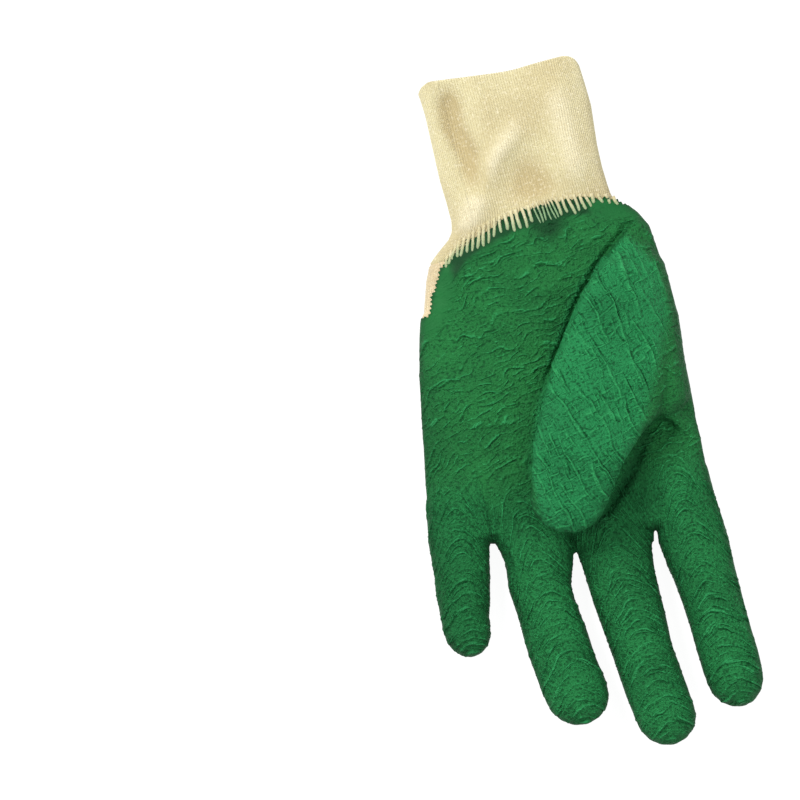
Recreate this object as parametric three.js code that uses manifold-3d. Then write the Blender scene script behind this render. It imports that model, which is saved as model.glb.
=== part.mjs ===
// A gardening glove for the left hand, size 8, lying on its back with the palm up and the thumb folded over the palm.
// It has three pieces. A rubber coat is dipped over the hand and runs a little way up the cuff. A cotton liner
// shows where the coat leaves it bare, on the back of the hand and round its outer edge. A knitted cuff is sewn
// to the liner, flares to meet it, and has soft folds. The fingers, the palm and the cuff are one open hollow.
//
// Millimetres. X runs across the hand towards the thumb, Y from the fingertips to the cuff, and Z up.
// The origin is the middle of the back of the hand, on the surface that the glove lies on.

import * as THREE from "three";
import { mergeVertices } from "three/addons/utils/BufferGeometryUtils.js";
import Module from "manifold-3d";

// Sizes of the hand
const SEAM_Y = 60; // from the origin to the seam between the hand and the cuff
const SEAM_WIDTH = 80;
const SEAM_THICKNESS = 19;
const SEAM_SHIFT = -2.4; // middle of the seam from the glove's long axis
const PALM_LENGTH = 112; // from the seam to the web between the fingers
const PALM_WIDTH = 106;
const PALM_THICKNESS = 21;
const PALM_EDGE_ROUND = 8;
const WEB_SLANT = 8; // how much further the web lies on the thumb's side
const MOUND_ROUND = 9; // end of the ball of the thumb
const FLATTENING = 1; // how much of the round underside is pressed flat

// Sizes of the middle finger, which the others follow
const FINGER_LENGTH = 95;
const FINGER_WIDTH = 25;
const FINGER_THICKNESS = 18;

// Sizes of the thumb
const THUMB_LENGTH = 111;
const THUMB_WIDTH = 33;
const THUMB_THICKNESS = 18;
const THUMB_LEAN = -27.5; // degrees from the glove's axis
const THUMB_CLEARANCE = 1.6; // between the palm and the free end of the thumb

// Sizes of the cuff
const CUFF_LENGTH = 63; // from the seam to the mouth
const CUFF_WIDTH = 61;
const CUFF_THICKNESS = 17;
const FLARE_LENGTH = 12; // from the seam to where the cuff is narrow
const MOUTH_SLANT = 1.4; // how much lower the mouth lies on the thumb's side

// Walls and gaps
const COAT_WALL = 2; // rubber with the cotton that it has soaked
const COAT_STEP = 0.4; // height of the coat's edge over the bare liner
const LIP_LENGTH = 8; // how far the coat runs up the cuff
const LIP_WALL = 0.9;
const CUFF_WALL = 1.8;
const FIT_GAP = 0.3; // between neighbouring pieces
const COAT_SPLIT_Z = 9; // height at which the coat's edge passes from the back of the hand to the palm

// Roundness of the sections: 2 is an ellipse, and more is squarer
const PALM_SQUARENESS = 2.6;
const DIGIT_SQUARENESS = 2.2;

// Facets of the solids
const PALM_SIDES = 40;
const DIGIT_SIDES = 20;
const THUMB_SIDES = 24;
const CUFF_SIDES = 48;
const ROUND_STEPS = 4;
const EDGE_STEPS = 24;

// Sections of the palm from the seam. along is a share of PALM_LENGTH, left and right are the edges' distances
// from the axis as shares of PALM_WIDTH, and height is a share of PALM_THICKNESS.
const PALM = [
  { along: 0.05, left: 0.427, right: 0.382, height: 0.95 },
  { along: 0.18, left: 0.476, right: 0.397, height: 1.0 },
  { along: 0.36, left: 0.531, right: 0.408, height: 1.0 },
  { along: 0.54, left: 0.571, right: 0.39, height: 0.98 },
  { along: 0.71, left: 0.604, right: 0.378, height: 0.95 },
  { along: 0.86, left: 0.625, right: 0.385, height: 0.93 },
];
const WEB_HEIGHT = 0.9; // share of PALM_THICKNESS

// Sections of the ball of the thumb. across is its middle, and across and width are shares of PALM_WIDTH.
const MOUND = [
  { along: 0.02, across: 0.27, width: 0.15, height: 0.72 },
  { along: 0.18, across: 0.285, width: 0.235, height: 1.12 },
  { along: 0.36, across: 0.265, width: 0.28, height: 1.22 },
  { along: 0.52, across: 0.255, width: 0.27, height: 1.2 },
  { along: 0.61, across: 0.262, width: 0.24, height: 1.12 },
];

// The fingers from the little one to the index. Root places are shares of PALM_WIDTH and PALM_LENGTH, lean is
// degrees from the glove's axis, length, width and thickness are shares of the middle finger's, and swell is
// how much wider the root is than the finger.
const FINGERS = [
  { across: -0.511, along: 0.786, lean: -6.3, length: 0.62, width: 0.88, thickness: 0.92, swell: 1.06 },
  { across: -0.287, along: 0.857, lean: 2.9, length: 0.87, width: 0.985, thickness: 1.0, swell: 1.13 },
  { across: -0.017, along: 0.875, lean: 2.9, length: 1.0, width: 1.0, thickness: 1.0, swell: 1.2 },
  { across: 0.256, along: 0.875, lean: 2.6, length: 0.935, width: 0.96, thickness: 1.0, swell: 1.16 },
];

// Sections of every finger: at is a share of its length, swell says how much of the root's extra width is there,
// width and thick are shares of its width and thickness, and base is its underside as a share of its thickness.
const FINGER_PROFILE = [
  { at: -0.16, swell: 0.0, width: 0.85, thick: 0.6, base: 0.2 },
  { at: 0.0, swell: 1.1, width: 1.0, thick: 1.12, base: -0.06 },
  { at: 0.24, swell: 1.0, width: 1.0, thick: 1.12, base: -0.06 },
  { at: 0.42, swell: 0.4, width: 1.0, thick: 1.05, base: -0.04 },
  { at: 0.62, swell: 0.0, width: 0.99, thick: 1.0, base: 0.0 },
  { at: 0.8, swell: 0.0, width: 0.96, thick: 0.98, base: 0.06 },
];
const FINGER_TIP = { width: 0.93, thick: 0.96, base: 0.12, round: 0.5 }; // round is a share of the width

// Sections of the thumb. left and right are its edges' distances from its straight axis as shares of
// THUMB_WIDTH, thick is a share of THUMB_THICKNESS, and leftBase and rightBase are its underside at the two
// edges as shares of the palm's thickness with the thumb's clearance.
const THUMB_ROOT = { across: 0.34, along: 0.09 };
const THUMB = [
  { at: -0.02, left: 0.06, right: 0.1, thick: 0.4, leftBase: 0.3, rightBase: 0.22 },
  { at: 0.1, left: 0.23, right: 0.33, thick: 0.85, leftBase: 0.75, rightBase: 0.3 },
  { at: 0.2, left: 0.32, right: 0.5, thick: 0.98, leftBase: 0.93, rightBase: 0.3 },
  { at: 0.38, left: 0.425, right: 0.7, thick: 1.05, leftBase: 1.0, rightBase: 0.36 },
  { at: 0.54, left: 0.485, right: 0.69, thick: 1.05, leftBase: 1.0, rightBase: 0.55 },
  { at: 0.64, left: 0.52, right: 0.55, thick: 1.02, leftBase: 1.0, rightBase: 0.85 },
  { at: 0.74, left: 0.54, right: 0.44, thick: 1.0, leftBase: 1.0, rightBase: 1.0 },
];
const THUMB_TIP = { left: 0.5, right: 0.38, thick: 0.95, leftBase: 1.0, rightBase: 1.0, round: 0.42 };

// Sections of the cuff above the flare: at is a share of CUFF_LENGTH, and width and height are shares of
// CUFF_WIDTH and CUFF_THICKNESS.
const CUFF = [
  { at: 0.38, width: 0.985, height: 1.02 },
  { at: 0.55, width: 1.01, height: 0.98 },
  { at: 0.72, width: 1.025, height: 0.97 },
  { at: 0.88, width: 1.03, height: 0.97 },
  { at: 0.96, width: 1.02, height: 0.93 },
  { at: 0.995, width: 0.96, height: 0.85 },
];

// Soft folds on the cuff's upper side. across and wide are shares of CUFF_WIDTH, at and long are shares of
// CUFF_LENGTH, lean is how far a fold leans for its length, and depth is a share of CUFF_THICKNESS.
const CUFF_FOLDS = [
  { across: -0.3, at: 0.76, wide: 0.075, long: 0.26, lean: 0.1, depth: 0.15 },
  { across: -0.29, at: 0.36, wide: 0.08, long: 0.22, lean: 0.28, depth: -0.09 },
  { across: -0.04, at: 0.38, wide: 0.15, long: 0.15, lean: 0.0, depth: 0.11 },
  { across: 0.05, at: 0.8, wide: 0.05, long: 0.16, lean: -0.08, depth: 0.04 },
  { across: 0.34, at: 0.5, wide: 0.09, long: 0.28, lean: 0.0, depth: -0.05 },
];

// The coat's edge on the back of the hand, a curve round the bare panel, and on the palm, where it climbs from
// the outer edge of the hand to the cuff. across is a share of PALM_WIDTH, and along a share of PALM_LENGTH.
const BACK_EDGE = [
  { across: -0.62, along: 0.165 },
  { across: -0.478, along: 0.21 },
  { across: -0.42, along: 0.305 },
  { across: -0.3, along: 0.38 },
  { across: -0.17, along: 0.392 },
  { across: -0.02, along: 0.35 },
  { across: 0.115, along: 0.265 },
  { across: 0.22, along: 0.135 },
  { across: 0.262, along: 0.0 },
];
const PALM_EDGE = [
  { across: -0.62, along: 0.165 },
  { across: -0.45, along: 0.15 },
  { across: -0.36, along: 0.03 },
  { across: -0.24, along: -0.035 },
  { across: -0.1, along: -0.075 },
  { across: -0.03, along: -0.1 },
];

const wasm = await Module();
wasm.setup();

// A solid from a list of points and a list of triangles' corners.
function solidFrom(points, triangles) {
  const mesh = new wasm.Mesh({
    numProp: 3,
    vertProperties: new Float32Array(points.flat()),
    triVerts: new Uint32Array(triangles.flat()),
  });
  return new wasm.Manifold(mesh);
}

// A closed three.js geometry as a solid.
function solidOf(geometry) {
  const bare = geometry.clone();
  bare.deleteAttribute("normal");
  bare.deleteAttribute("uv");
  const merged = mergeVertices(bare);
  const mesh = new wasm.Mesh({
    numProp: 3,
    vertProperties: merged.attributes.position.array,
    triVerts: new Uint32Array(merged.index.array),
  });
  return new wasm.Manifold(mesh);
}

const union = (solids) => solids.reduce((all, solid) => all.add(solid));

// One side of a superellipse: cosine or sine drawn out towards a square.
const squared = (value, squareness) => Math.sign(value) * Math.abs(value) ** (2 / squareness);

// The points of one upright section. It has a middle, the direction across it, half its width, its underside
// and top, a slant along Y, and a tilt that lifts one side. Nothing goes lower than floor, so the underside is
// flat where the glove lies.
function sectionPoints(section, sides, squareness, floor) {
  const points = [];
  const middle = (section.low + section.high) / 2;
  const rise = (section.high - section.low) / 2;
  for (let i = 0; i < sides; i += 1) {
    const angle = (2 * Math.PI * i) / sides;
    const across = squared(Math.cos(angle), squareness);
    const up = squared(Math.sin(angle), squareness);
    const slant = (section.slant ?? 0) * across;
    const tilt = (section.tilt ?? 0) * across;
    points.push([
      section.x + section.side[0] * section.half * across,
      section.y + section.side[1] * section.half * across + slant,
      Math.max(middle + rise * up + tilt, floor),
    ]);
  }
  return points;
}

// A closed solid through a row of sections, with flat ends.
function loft(sections, sides, squareness, floor) {
  const points = sections.flatMap((section) => sectionPoints(section, sides, squareness, floor));
  const triangles = [];
  for (let row = 0; row + 1 < sections.length; row += 1) {
    for (let i = 0; i < sides; i += 1) {
      const a = row * sides + i;
      const b = row * sides + ((i + 1) % sides);
      triangles.push([a, b, a + sides], [b, b + sides, a + sides]);
    }
  }
  for (const [row, turned] of [
    [0, true],
    [sections.length - 1, false],
  ]) {
    const ring = points.slice(row * sides, (row + 1) * sides);
    const centre = [0, 1, 2].map((axis) => ring.reduce((sum, p) => sum + p[axis], 0) / sides);
    const hub = points.push(centre) - 1;
    for (let i = 0; i < sides; i += 1) {
      const a = row * sides + i;
      const b = row * sides + ((i + 1) % sides);
      triangles.push(turned ? [b, a, hub] : [a, b, hub]);
    }
  }
  return solidFrom(points, triangles);
}

// A section drawn in by inset all round.
const drawnIn = (section, inset) => ({
  ...section,
  half: section.half - inset,
  low: section.low + inset,
  high: section.high - inset,
});

const palmX = (across) => across * PALM_WIDTH;
const palmY = (along) => SEAM_Y - along * PALM_LENGTH;

// A section of the flare, where share goes from 0 at the seam to 1 where the cuff is narrow.
const FLARE_POWER = 1.5;
function flareSection(share, inset) {
  const open = (1 - share) ** FLARE_POWER;
  const height = CUFF_THICKNESS + (SEAM_THICKNESS - CUFF_THICKNESS) * open;
  return {
    x: SEAM_SHIFT * open,
    y: SEAM_Y + share * FLARE_LENGTH,
    side: [1, 0],
    half: (CUFF_WIDTH + (SEAM_WIDTH - CUFF_WIDTH) * open) / 2 - inset,
    low: inset - FLATTENING,
    high: height - inset,
  };
}

// The rounded end of a tube: sections that shrink as a quarter of an ellipse.
function roundedEnd(start, direction, round, inset, last) {
  const sections = [];
  const middle = (start.low + start.high) / 2;
  const rise = (start.high - start.low) / 2 - inset;
  for (let step = 0; step <= ROUND_STEPS; step += 1) {
    const angle = (last * step) / ROUND_STEPS;
    const reach = (round - inset) * Math.sin(angle);
    const size = Math.cos(angle);
    sections.push({
      ...start,
      x: start.x + direction[0] * reach,
      y: start.y + direction[1] * reach,
      half: (start.half - inset) * size,
      low: middle - rise * size,
      high: middle + rise * size,
    });
  }
  return sections;
}
const NEARLY_CLOSED = (Math.PI / 2) * 0.96;

// The palm, from beyond the seam to the web between the fingers.
function palm(inset, mouthShares) {
  const sections = mouthShares.map((share) => flareSection(share, inset));
  const plain = PALM.map(({ along, left, right, height }) => ({
    x: palmX(right - left) / 2,
    y: palmY(along),
    side: [1, 0],
    half: palmX(left + right) / 2,
    low: -FLATTENING,
    high: height * PALM_THICKNESS,
  }));
  sections.push(...plain.map((section) => drawnIn(section, inset)));
  const last = plain[plain.length - 1];
  const edge = { ...last, y: SEAM_Y - PALM_LENGTH + PALM_EDGE_ROUND, high: WEB_HEIGHT * PALM_THICKNESS };
  for (const section of roundedEnd(edge, [0, -1], PALM_EDGE_ROUND, inset, NEARLY_CLOSED)) {
    const narrowing = last.half - inset - section.half;
    const half = section.half + narrowing * 0.9;
    sections.push({ ...section, half, slant: -WEB_SLANT });
  }
  return loft(sections, PALM_SIDES, PALM_SQUARENESS, inset);
}

// The ball of the thumb, beside the thumb's root.
function mound(inset) {
  const plain = MOUND.map(({ along, across, width, height }) => ({
    x: palmX(across),
    y: palmY(along),
    side: [1, 0],
    half: palmX(width) / 2,
    low: -FLATTENING,
    high: height * PALM_THICKNESS,
  }));
  const sections = plain.map((section) => drawnIn(section, inset));
  sections[0].y -= inset;
  const end = roundedEnd(plain[plain.length - 1], [0, -1], MOUND_ROUND, inset, NEARLY_CLOSED);
  return loft([...sections, ...end.slice(1)], DIGIT_SIDES, DIGIT_SQUARENESS, inset);
}

// A finger or the thumb: rows of sections along a straight line from the root, and a round tip.
function digit(root, lean, length, rows, tip, tipRound, sides, inset) {
  const turn = THREE.MathUtils.degToRad(lean);
  const direction = [Math.sin(turn), -Math.cos(turn)];
  const side = [Math.cos(turn), Math.sin(turn)];
  const place = (distance, shift = 0) => ({
    x: root[0] + direction[0] * distance + side[0] * shift,
    y: root[1] + direction[1] * distance + side[1] * shift,
    side,
  });
  const sections = rows.map((row, i) => {
    const distance = row.at * length + (i === 0 ? inset : 0);
    return drawnIn({ ...row, ...place(distance, row.shift) }, inset);
  });
  const start = { ...place(length - tipRound, tip.shift), ...tip };
  sections.push(...roundedEnd(start, direction, tipRound, inset, NEARLY_CLOSED));
  return loft(sections, sides, DIGIT_SQUARENESS, inset);
}

function finger(shares, inset) {
  const width = shares.width * FINGER_WIDTH;
  const thickness = shares.thickness * FINGER_THICKNESS;
  const row = ({ at, swell = 0, width: own, thick, base }) => ({
    at,
    half: (width * (own + (shares.swell - 1) * swell)) / 2,
    low: base * thickness,
    high: (base + thick) * thickness,
  });
  const root = [palmX(shares.across), palmY(shares.along)];
  const length = shares.length * FINGER_LENGTH;
  const tipRound = FINGER_TIP.round * width;
  const rows = FINGER_PROFILE.map(row);
  return digit(root, shares.lean, length, rows, row(FINGER_TIP), tipRound, DIGIT_SIDES, inset);
}

function thumb(inset) {
  const row = ({ at, left, right, thick, leftBase, rightBase }) => {
    const level = PALM_THICKNESS + THUMB_CLEARANCE;
    const low = ((leftBase + rightBase) / 2) * level;
    return {
      at,
      shift: ((right - left) / 2) * THUMB_WIDTH,
      half: ((right + left) / 2) * THUMB_WIDTH,
      low,
      high: low + thick * THUMB_THICKNESS,
      tilt: ((rightBase - leftBase) / 2) * level,
    };
  };
  const root = [palmX(THUMB_ROOT.across), palmY(THUMB_ROOT.along)];
  const tipRound = THUMB_TIP.round * THUMB_WIDTH;
  return digit(root, THUMB_LEAN, THUMB_LENGTH, THUMB.map(row), row(THUMB_TIP), tipRound, THUMB_SIDES, inset);
}

// The whole hand drawn in by inset. mouthShares are the flare's sections that it starts with.
const hand = (inset, mouthShares) =>
  union([
    palm(inset, mouthShares),
    mound(inset),
    thumb(inset),
    ...FINGERS.map((row) => finger(row, inset)),
  ]);

// How far the cuff's outside is drawn in where the coat's lip lies on it: all the way on the palm's side, and
// not at all on the back. up is the height round the section, from -1 to 1.
const LIP_STARTS = -0.7;
const LIP_FULL = -0.1;
function cuffTuck(up, y, gap) {
  const covered = THREE.MathUtils.clamp((up - LIP_STARTS) / (LIP_FULL - LIP_STARTS), 0, 1);
  const lowEnough = THREE.MathUtils.clamp((SEAM_Y + FLARE_LENGTH - y) / (FLARE_LENGTH - LIP_LENGTH), 0, 1);
  return (LIP_WALL + FIT_GAP) * covered * lowEnough - gap;
}

// The depth of the cuff's folds at a place on its upper side.
function foldDepth(x, y) {
  let depth = 0;
  for (const fold of CUFF_FOLDS) {
    const along = (y - SEAM_Y) / CUFF_LENGTH - fold.at;
    const across = x / CUFF_WIDTH - fold.across - fold.lean * along;
    depth += fold.depth * Math.exp(-((across / fold.wide) ** 2) - (along / fold.long) ** 2);
  }
  return depth * CUFF_THICKNESS;
}

// The cuff's sections from the seam to its mouth, as places with no wall.
function cuffSections() {
  const flare = [0, LIP_LENGTH / FLARE_LENGTH / 2, LIP_LENGTH / FLARE_LENGTH, 1];
  const above = CUFF.map(({ at, width, height }) => ({
    x: 0,
    y: SEAM_Y + at * CUFF_LENGTH,
    side: [1, 0],
    half: (width * CUFF_WIDTH) / 2,
    low: -FLATTENING,
    high: height * CUFF_THICKNESS,
    slant: -at * MOUTH_SLANT,
  }));
  return [...flare.map((share) => flareSection(share, 0)), ...above];
}

// One ring of points round the cuff, drawn in by inset past the tuck under the lip, and shifted along Y.
function cuffRing(section, inset, gap, shift) {
  const points = [];
  for (let i = 0; i < CUFF_SIDES; i += 1) {
    const angle = (2 * Math.PI * i) / CUFF_SIDES;
    const across = squared(Math.cos(angle), PALM_SQUARENESS);
    const up = squared(Math.sin(angle), PALM_SQUARENESS);
    const drawnIn = inset + cuffTuck(up, section.y, gap);
    const middle = (section.low + section.high) / 2;
    const x = section.x + (section.half - drawnIn) * across;
    const fold = foldDepth(section.x + section.half * across, section.y) * Math.max(up, 0);
    const z = middle + ((section.high - section.low) / 2 - drawnIn) * up - fold;
    points.push([x, section.y + (section.slant ?? 0) * across + shift, Math.max(z, inset)]);
  }
  return points;
}

// The cuff: rings up its outside, over its rim and down its inside, joined into a closed skin.
function cuff() {
  const sections = cuffSections();
  const mouth = sections[sections.length - 1];
  const rim = (1 - CUFF[CUFF.length - 1].at) * CUFF_LENGTH;
  const rings = [
    ...sections.map((section) => cuffRing(section, 0, 0, 0)),
    cuffRing(mouth, CUFF_WALL * 0.3, 0, rim),
    cuffRing(mouth, CUFF_WALL * 0.7, 0, rim),
    ...sections.reverse().map((section) => cuffRing(section, CUFF_WALL, 0, 0)),
  ];
  const triangles = [];
  for (let row = 0; row < rings.length; row += 1) {
    const next = (row + 1) % rings.length;
    for (let i = 0; i < CUFF_SIDES; i += 1) {
      const j = (i + 1) % CUFF_SIDES;
      const [a, b] = [row * CUFF_SIDES + i, row * CUFF_SIDES + j];
      const [c, d] = [next * CUFF_SIDES + i, next * CUFF_SIDES + j];
      triangles.push([a, c, b], [b, c, d]);
    }
  }
  return solidFrom(rings.flat(), triangles);
}

// The space that the cuff takes, a gap larger all round and from a gap below the seam, to cut the coat's lip.
function cuffSpace() {
  const rings = cuffSections().map((section) => cuffRing(section, 0, FIT_GAP, 0));
  const start = rings[0].map(([x, y, z]) => [x, y - FIT_GAP, z]);
  const all = [start, ...rings];
  const points = all.flat();
  const triangles = [];
  for (let row = 0; row + 1 < all.length; row += 1) {
    for (let i = 0; i < CUFF_SIDES; i += 1) {
      const j = (i + 1) % CUFF_SIDES;
      const [a, b] = [row * CUFF_SIDES + i, row * CUFF_SIDES + j];
      triangles.push([a, a + CUFF_SIDES, b], [b, a + CUFF_SIDES, b + CUFF_SIDES]);
    }
  }
  const hubs = [start, rings[rings.length - 1]].map((ring) => {
    const centre = [0, 1, 2].map((axis) => ring.reduce((sum, p) => sum + p[axis], 0) / CUFF_SIDES);
    return points.push(centre) - 1;
  });
  const top = (all.length - 1) * CUFF_SIDES;
  for (let i = 0; i < CUFF_SIDES; i += 1) {
    const j = (i + 1) % CUFF_SIDES;
    triangles.push([i, j, hubs[0]], [top + j, top + i, hubs[1]]);
  }
  return solidFrom(points, triangles);
}

// The side of the coat's edge that is bare, as an upright prism. rows are the edge's points from the outer edge
// of the hand to the thumb's side, and the whole is drawn back towards the cuff by gap.
const CUT_MARGIN = 30;
function barePrism(rows, gap, low, high) {
  const places = rows.map(({ across, along }) => new THREE.Vector3(palmX(across), palmY(along), 0));
  const line = new THREE.CatmullRomCurve3(places).getPoints(EDGE_STEPS);
  const edge = line.map((point, i) => {
    const before = line[Math.max(i - 1, 0)];
    const after = line[Math.min(i + 1, line.length - 1)];
    const ahead = after.clone().sub(before).normalize();
    return new THREE.Vector2(point.x - ahead.y * gap, point.y + ahead.x * gap);
  });
  const beyond = SEAM_Y + FLARE_LENGTH + CUT_MARGIN;
  const outer = edge[0].x - CUT_MARGIN;
  const inner = edge[edge.length - 1].x;
  const outline = [new THREE.Vector2(outer, edge[0].y), ...edge];
  if (low < 0) {
    const seam = edge[edge.length - 1].y;
    const thumbSide = palmX(1);
    outline.push(new THREE.Vector2(thumbSide, seam), new THREE.Vector2(thumbSide, beyond));
  } else {
    outline.push(new THREE.Vector2(inner, beyond));
  }
  outline.push(new THREE.Vector2(outer, beyond));
  const prism = new THREE.ExtrudeGeometry(new THREE.Shape(outline), { depth: high - low, bevelEnabled: false });
  return solidOf(prism.translate(0, 0, low));
}

// Everything that the coat leaves bare.
const bare = (gap) =>
  barePrism(BACK_EDGE, gap, -CUT_MARGIN, COAT_SPLIT_Z).add(
    barePrism(PALM_EDGE, gap, COAT_SPLIT_Z, PALM_THICKNESS * 2 + THUMB_THICKNESS),
  );

// The side of the seam where the hand is, as a box.
function handSide(y) {
  const box = new THREE.BoxGeometry(PALM_WIDTH * 3, PALM_LENGTH * 5, PALM_THICKNESS * 9);
  return solidOf(box.translate(0, y - PALM_LENGTH * 2.5, 0));
}

const lipShare = LIP_LENGTH / FLARE_LENGTH;
const hollow = hand(COAT_WALL, [0.3, 0]);
const coatOutside = hand(0, [lipShare, lipShare / 2, 0]);
const linerOutside = hand(COAT_STEP, [0.3, 0]).intersect(handSide(SEAM_Y - FIT_GAP));
const coat = coatOutside.subtract(hollow).subtract(cuffSpace()).subtract(bare(0));
const liner = linerOutside.subtract(hollow).intersect(bare(FIT_GAP));

// A solid as a named mesh with its own material.
function mesh(name, solid, color, roughness) {
  const made = solid.getMesh();
  const geometry = new THREE.BufferGeometry();
  geometry.setAttribute("position", new THREE.BufferAttribute(made.vertProperties, 3));
  geometry.setIndex(new THREE.BufferAttribute(made.triVerts, 1));
  geometry.computeVertexNormals();
  const material = new THREE.MeshStandardMaterial({ color, roughness, metalness: 0 });
  const piece = new THREE.Mesh(geometry, material);
  piece.name = name;
  return piece;
}

const glove = new THREE.Group();
glove.add(
  mesh("rubber_coat", coat, 0x17703f, 0.75),
  mesh("cotton_liner", liner, 0xf0d9b8, 0.95),
  mesh("knit_cuff", cuff(), 0xe9dcb0, 0.95),
);

export default glove;
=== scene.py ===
# Looks for a gardening glove that lies palm up: a crinkled rubber coat, a bare cotton liner, a ribbed cuff.
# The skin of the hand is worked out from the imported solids, smoothed, cut along the coat's edge and crinkled.
# Lengths are millimetres until a mesh is made, and the row's frame is used throughout.

import math

import bpy
import numpy as np
import openvdb
from mathutils import Matrix, Vector
from mathutils.bvhtree import BVHTree


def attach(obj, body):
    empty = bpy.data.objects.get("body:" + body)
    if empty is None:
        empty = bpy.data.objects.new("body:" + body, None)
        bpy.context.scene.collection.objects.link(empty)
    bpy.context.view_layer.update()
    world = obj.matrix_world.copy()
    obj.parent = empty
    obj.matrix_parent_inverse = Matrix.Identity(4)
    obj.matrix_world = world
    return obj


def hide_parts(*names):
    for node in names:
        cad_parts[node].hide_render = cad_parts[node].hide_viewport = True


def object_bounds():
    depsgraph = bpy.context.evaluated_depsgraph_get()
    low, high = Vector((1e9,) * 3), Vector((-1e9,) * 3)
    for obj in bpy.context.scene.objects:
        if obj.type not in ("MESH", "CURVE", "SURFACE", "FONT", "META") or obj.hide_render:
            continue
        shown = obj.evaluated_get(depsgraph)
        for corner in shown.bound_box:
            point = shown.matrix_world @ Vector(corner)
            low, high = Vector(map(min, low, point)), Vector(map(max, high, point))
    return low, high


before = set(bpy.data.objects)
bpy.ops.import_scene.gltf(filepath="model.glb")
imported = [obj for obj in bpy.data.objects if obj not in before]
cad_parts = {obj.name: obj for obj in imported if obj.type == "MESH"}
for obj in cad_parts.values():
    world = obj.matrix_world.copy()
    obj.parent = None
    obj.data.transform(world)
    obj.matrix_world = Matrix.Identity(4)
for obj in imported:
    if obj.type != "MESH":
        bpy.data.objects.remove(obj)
cad_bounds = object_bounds()

MM = 0.001

# Camera
PHOTO_SIDE = 800  # pixels
MM_PER_PIXEL = 0.37
HAND_PIXEL = (556, 400)  # where the point HAND_POINT lies in the photograph
HAND_POINT = (-8.5, 0.0)
CAMERA_ROLL = math.radians(14)
CAMERA_LENS = 400.0
CAMERA_SENSOR = 36.0
FOCUS_HEIGHT = 10.0  # the height at which MM_PER_PIXEL holds

# The hand, as the solids have it
SEAM_Y = 60.0
CUFF_TOP_Y = 122.7
SKIN_TOP_Y = 76.0
SIDE_Z = (5.0, 13.0)  # heights between which the coat's edge passes from the back's curve to the palm's

# Skin
VOXEL = 0.56
BAND = 3.0  # voxels on each side of a surface
SMOOTH_ROUNDS = 60
COAT_STEP = 0.45  # the coat's edge over the bare liner
EDGE_BAND = 1.6  # width of the band along the coat's edge where the triangles are split
LINER_OVERLAP = 4.0  # how far the liner runs in under the coat

# The digits: root, lean in degrees from the glove's axis, length and width
FINGERS = [
    {"root": (-54.2, -28.0), "lean": -6.3, "length": 59.0, "width": 22.0},
    {"root": (-30.4, -36.0), "lean": 2.9, "length": 82.6, "width": 24.6},
    {"root": (-1.8, -38.0), "lean": 2.9, "length": 95.0, "width": 25.0},
    {"root": (27.1, -38.0), "lean": 2.6, "length": 88.8, "width": 24.0},
]
THUMB = {"root": (36.0, 49.9), "lean": -27.5, "length": 111.0}
THUMB_SPAN = np.array(  # distance from the root, and the edges' distances from the axis
    [(-3, 2, 4), (11, 8, 12), (22, 11, 18), (42, 14, 26), (60, 16, 24), (72, 17, 18), (92, 17, 13), (111, 6, 4)],
    float,
)

# The coat's edge on the back and on the palm
BACK_EDGE = [(-65.7, 41.5), (-50.7, 36.5), (-44.5, 25.8), (-31.8, 17.4), (-18.0, 16.1), (-2.1, 20.8), (12.2, 30.3),
             (22.4, 42.9), (26.8, 53.0), (30.2, 59.6), (38.0, 61.6), (50.0, 60.0)]
PALM_EDGE = [(-65.7, 41.5), (-48.5, 41.3), (-44.3, 47.0), (-42.1, 50.8), (-39.7, 55.3), (-36.6, 58.6), (-31.1, 63.4),
             (-24.4, 66.3), (-18.1, 68.4), (-12.1, 69.7), (-5.6, 70.6), (2.6, 71.2), (13.6, 71.0), (20.7, 69.8),
             (28.1, 67.8), (34.0, 64.6), (48.0, 60.0)]

# The fold where the thumb's ball stands over the palm, the fold over the hollow between thumb and finger,
# and the crease along the thumb's right side, where the coat's colour also gets a painted shadow
BALL_FOLD = [(-14.6, 0.0), (-5.6, 13.0), (1.6, 22.3), (7.8, 31.8), (19.3, 44.2), (33.3, 55.9)]
WEB_FOLD = [(17.5, -19.5), (20.6, -17.6), (26.6, -15.8), (31.0, -18.0), (34.5, -23.5)]

THUMB_FOOT = [(-6.0, -47.0), (0.0, -43.5), (8.0, -36.0), (14.5, -28.5), (19.5, -20.0)]

# The gaps between the fingers near the palm, as outlines
GAPS = [
    [(-44.6, -45.3), (-45.1, -48.8), (-45.6, -52.5), (-46.0, -56.2), (-46.2, -61.0), (-46.0, -66.0), (-43.8, -67.4),
     (-42.4, -64.6), (-41.9, -60.3), (-41.5, -56.7), (-41.4, -53.2), (-42.1, -49.2), (-42.9, -46.3)],
    [(-15.3, -56.3), (-16.2, -62.9), (-16.6, -70.0), (-16.3, -74.3), (-14.7, -77.0), (-13.3, -76.6), (-13.8, -70.4),
     (-14.0, -62.7), (-14.6, -56.6)],
    [(15.0, -55.8), (13.6, -60.8), (13.6, -66.5), (13.7, -71.5), (14.5, -72.9), (15.5, -72.0), (15.6, -67.0),
     (15.5, -62.0), (15.8, -56.0)],
]
GAP_CORE = 9.5  # the height at which a gap is narrowest
GAP_ROUND = 9.0  # radius of the fingers' sides along it
GAP_FLARE = 3.0  # how much wider it gets at most, on each side
GAP_TOP = 20.5

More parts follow.
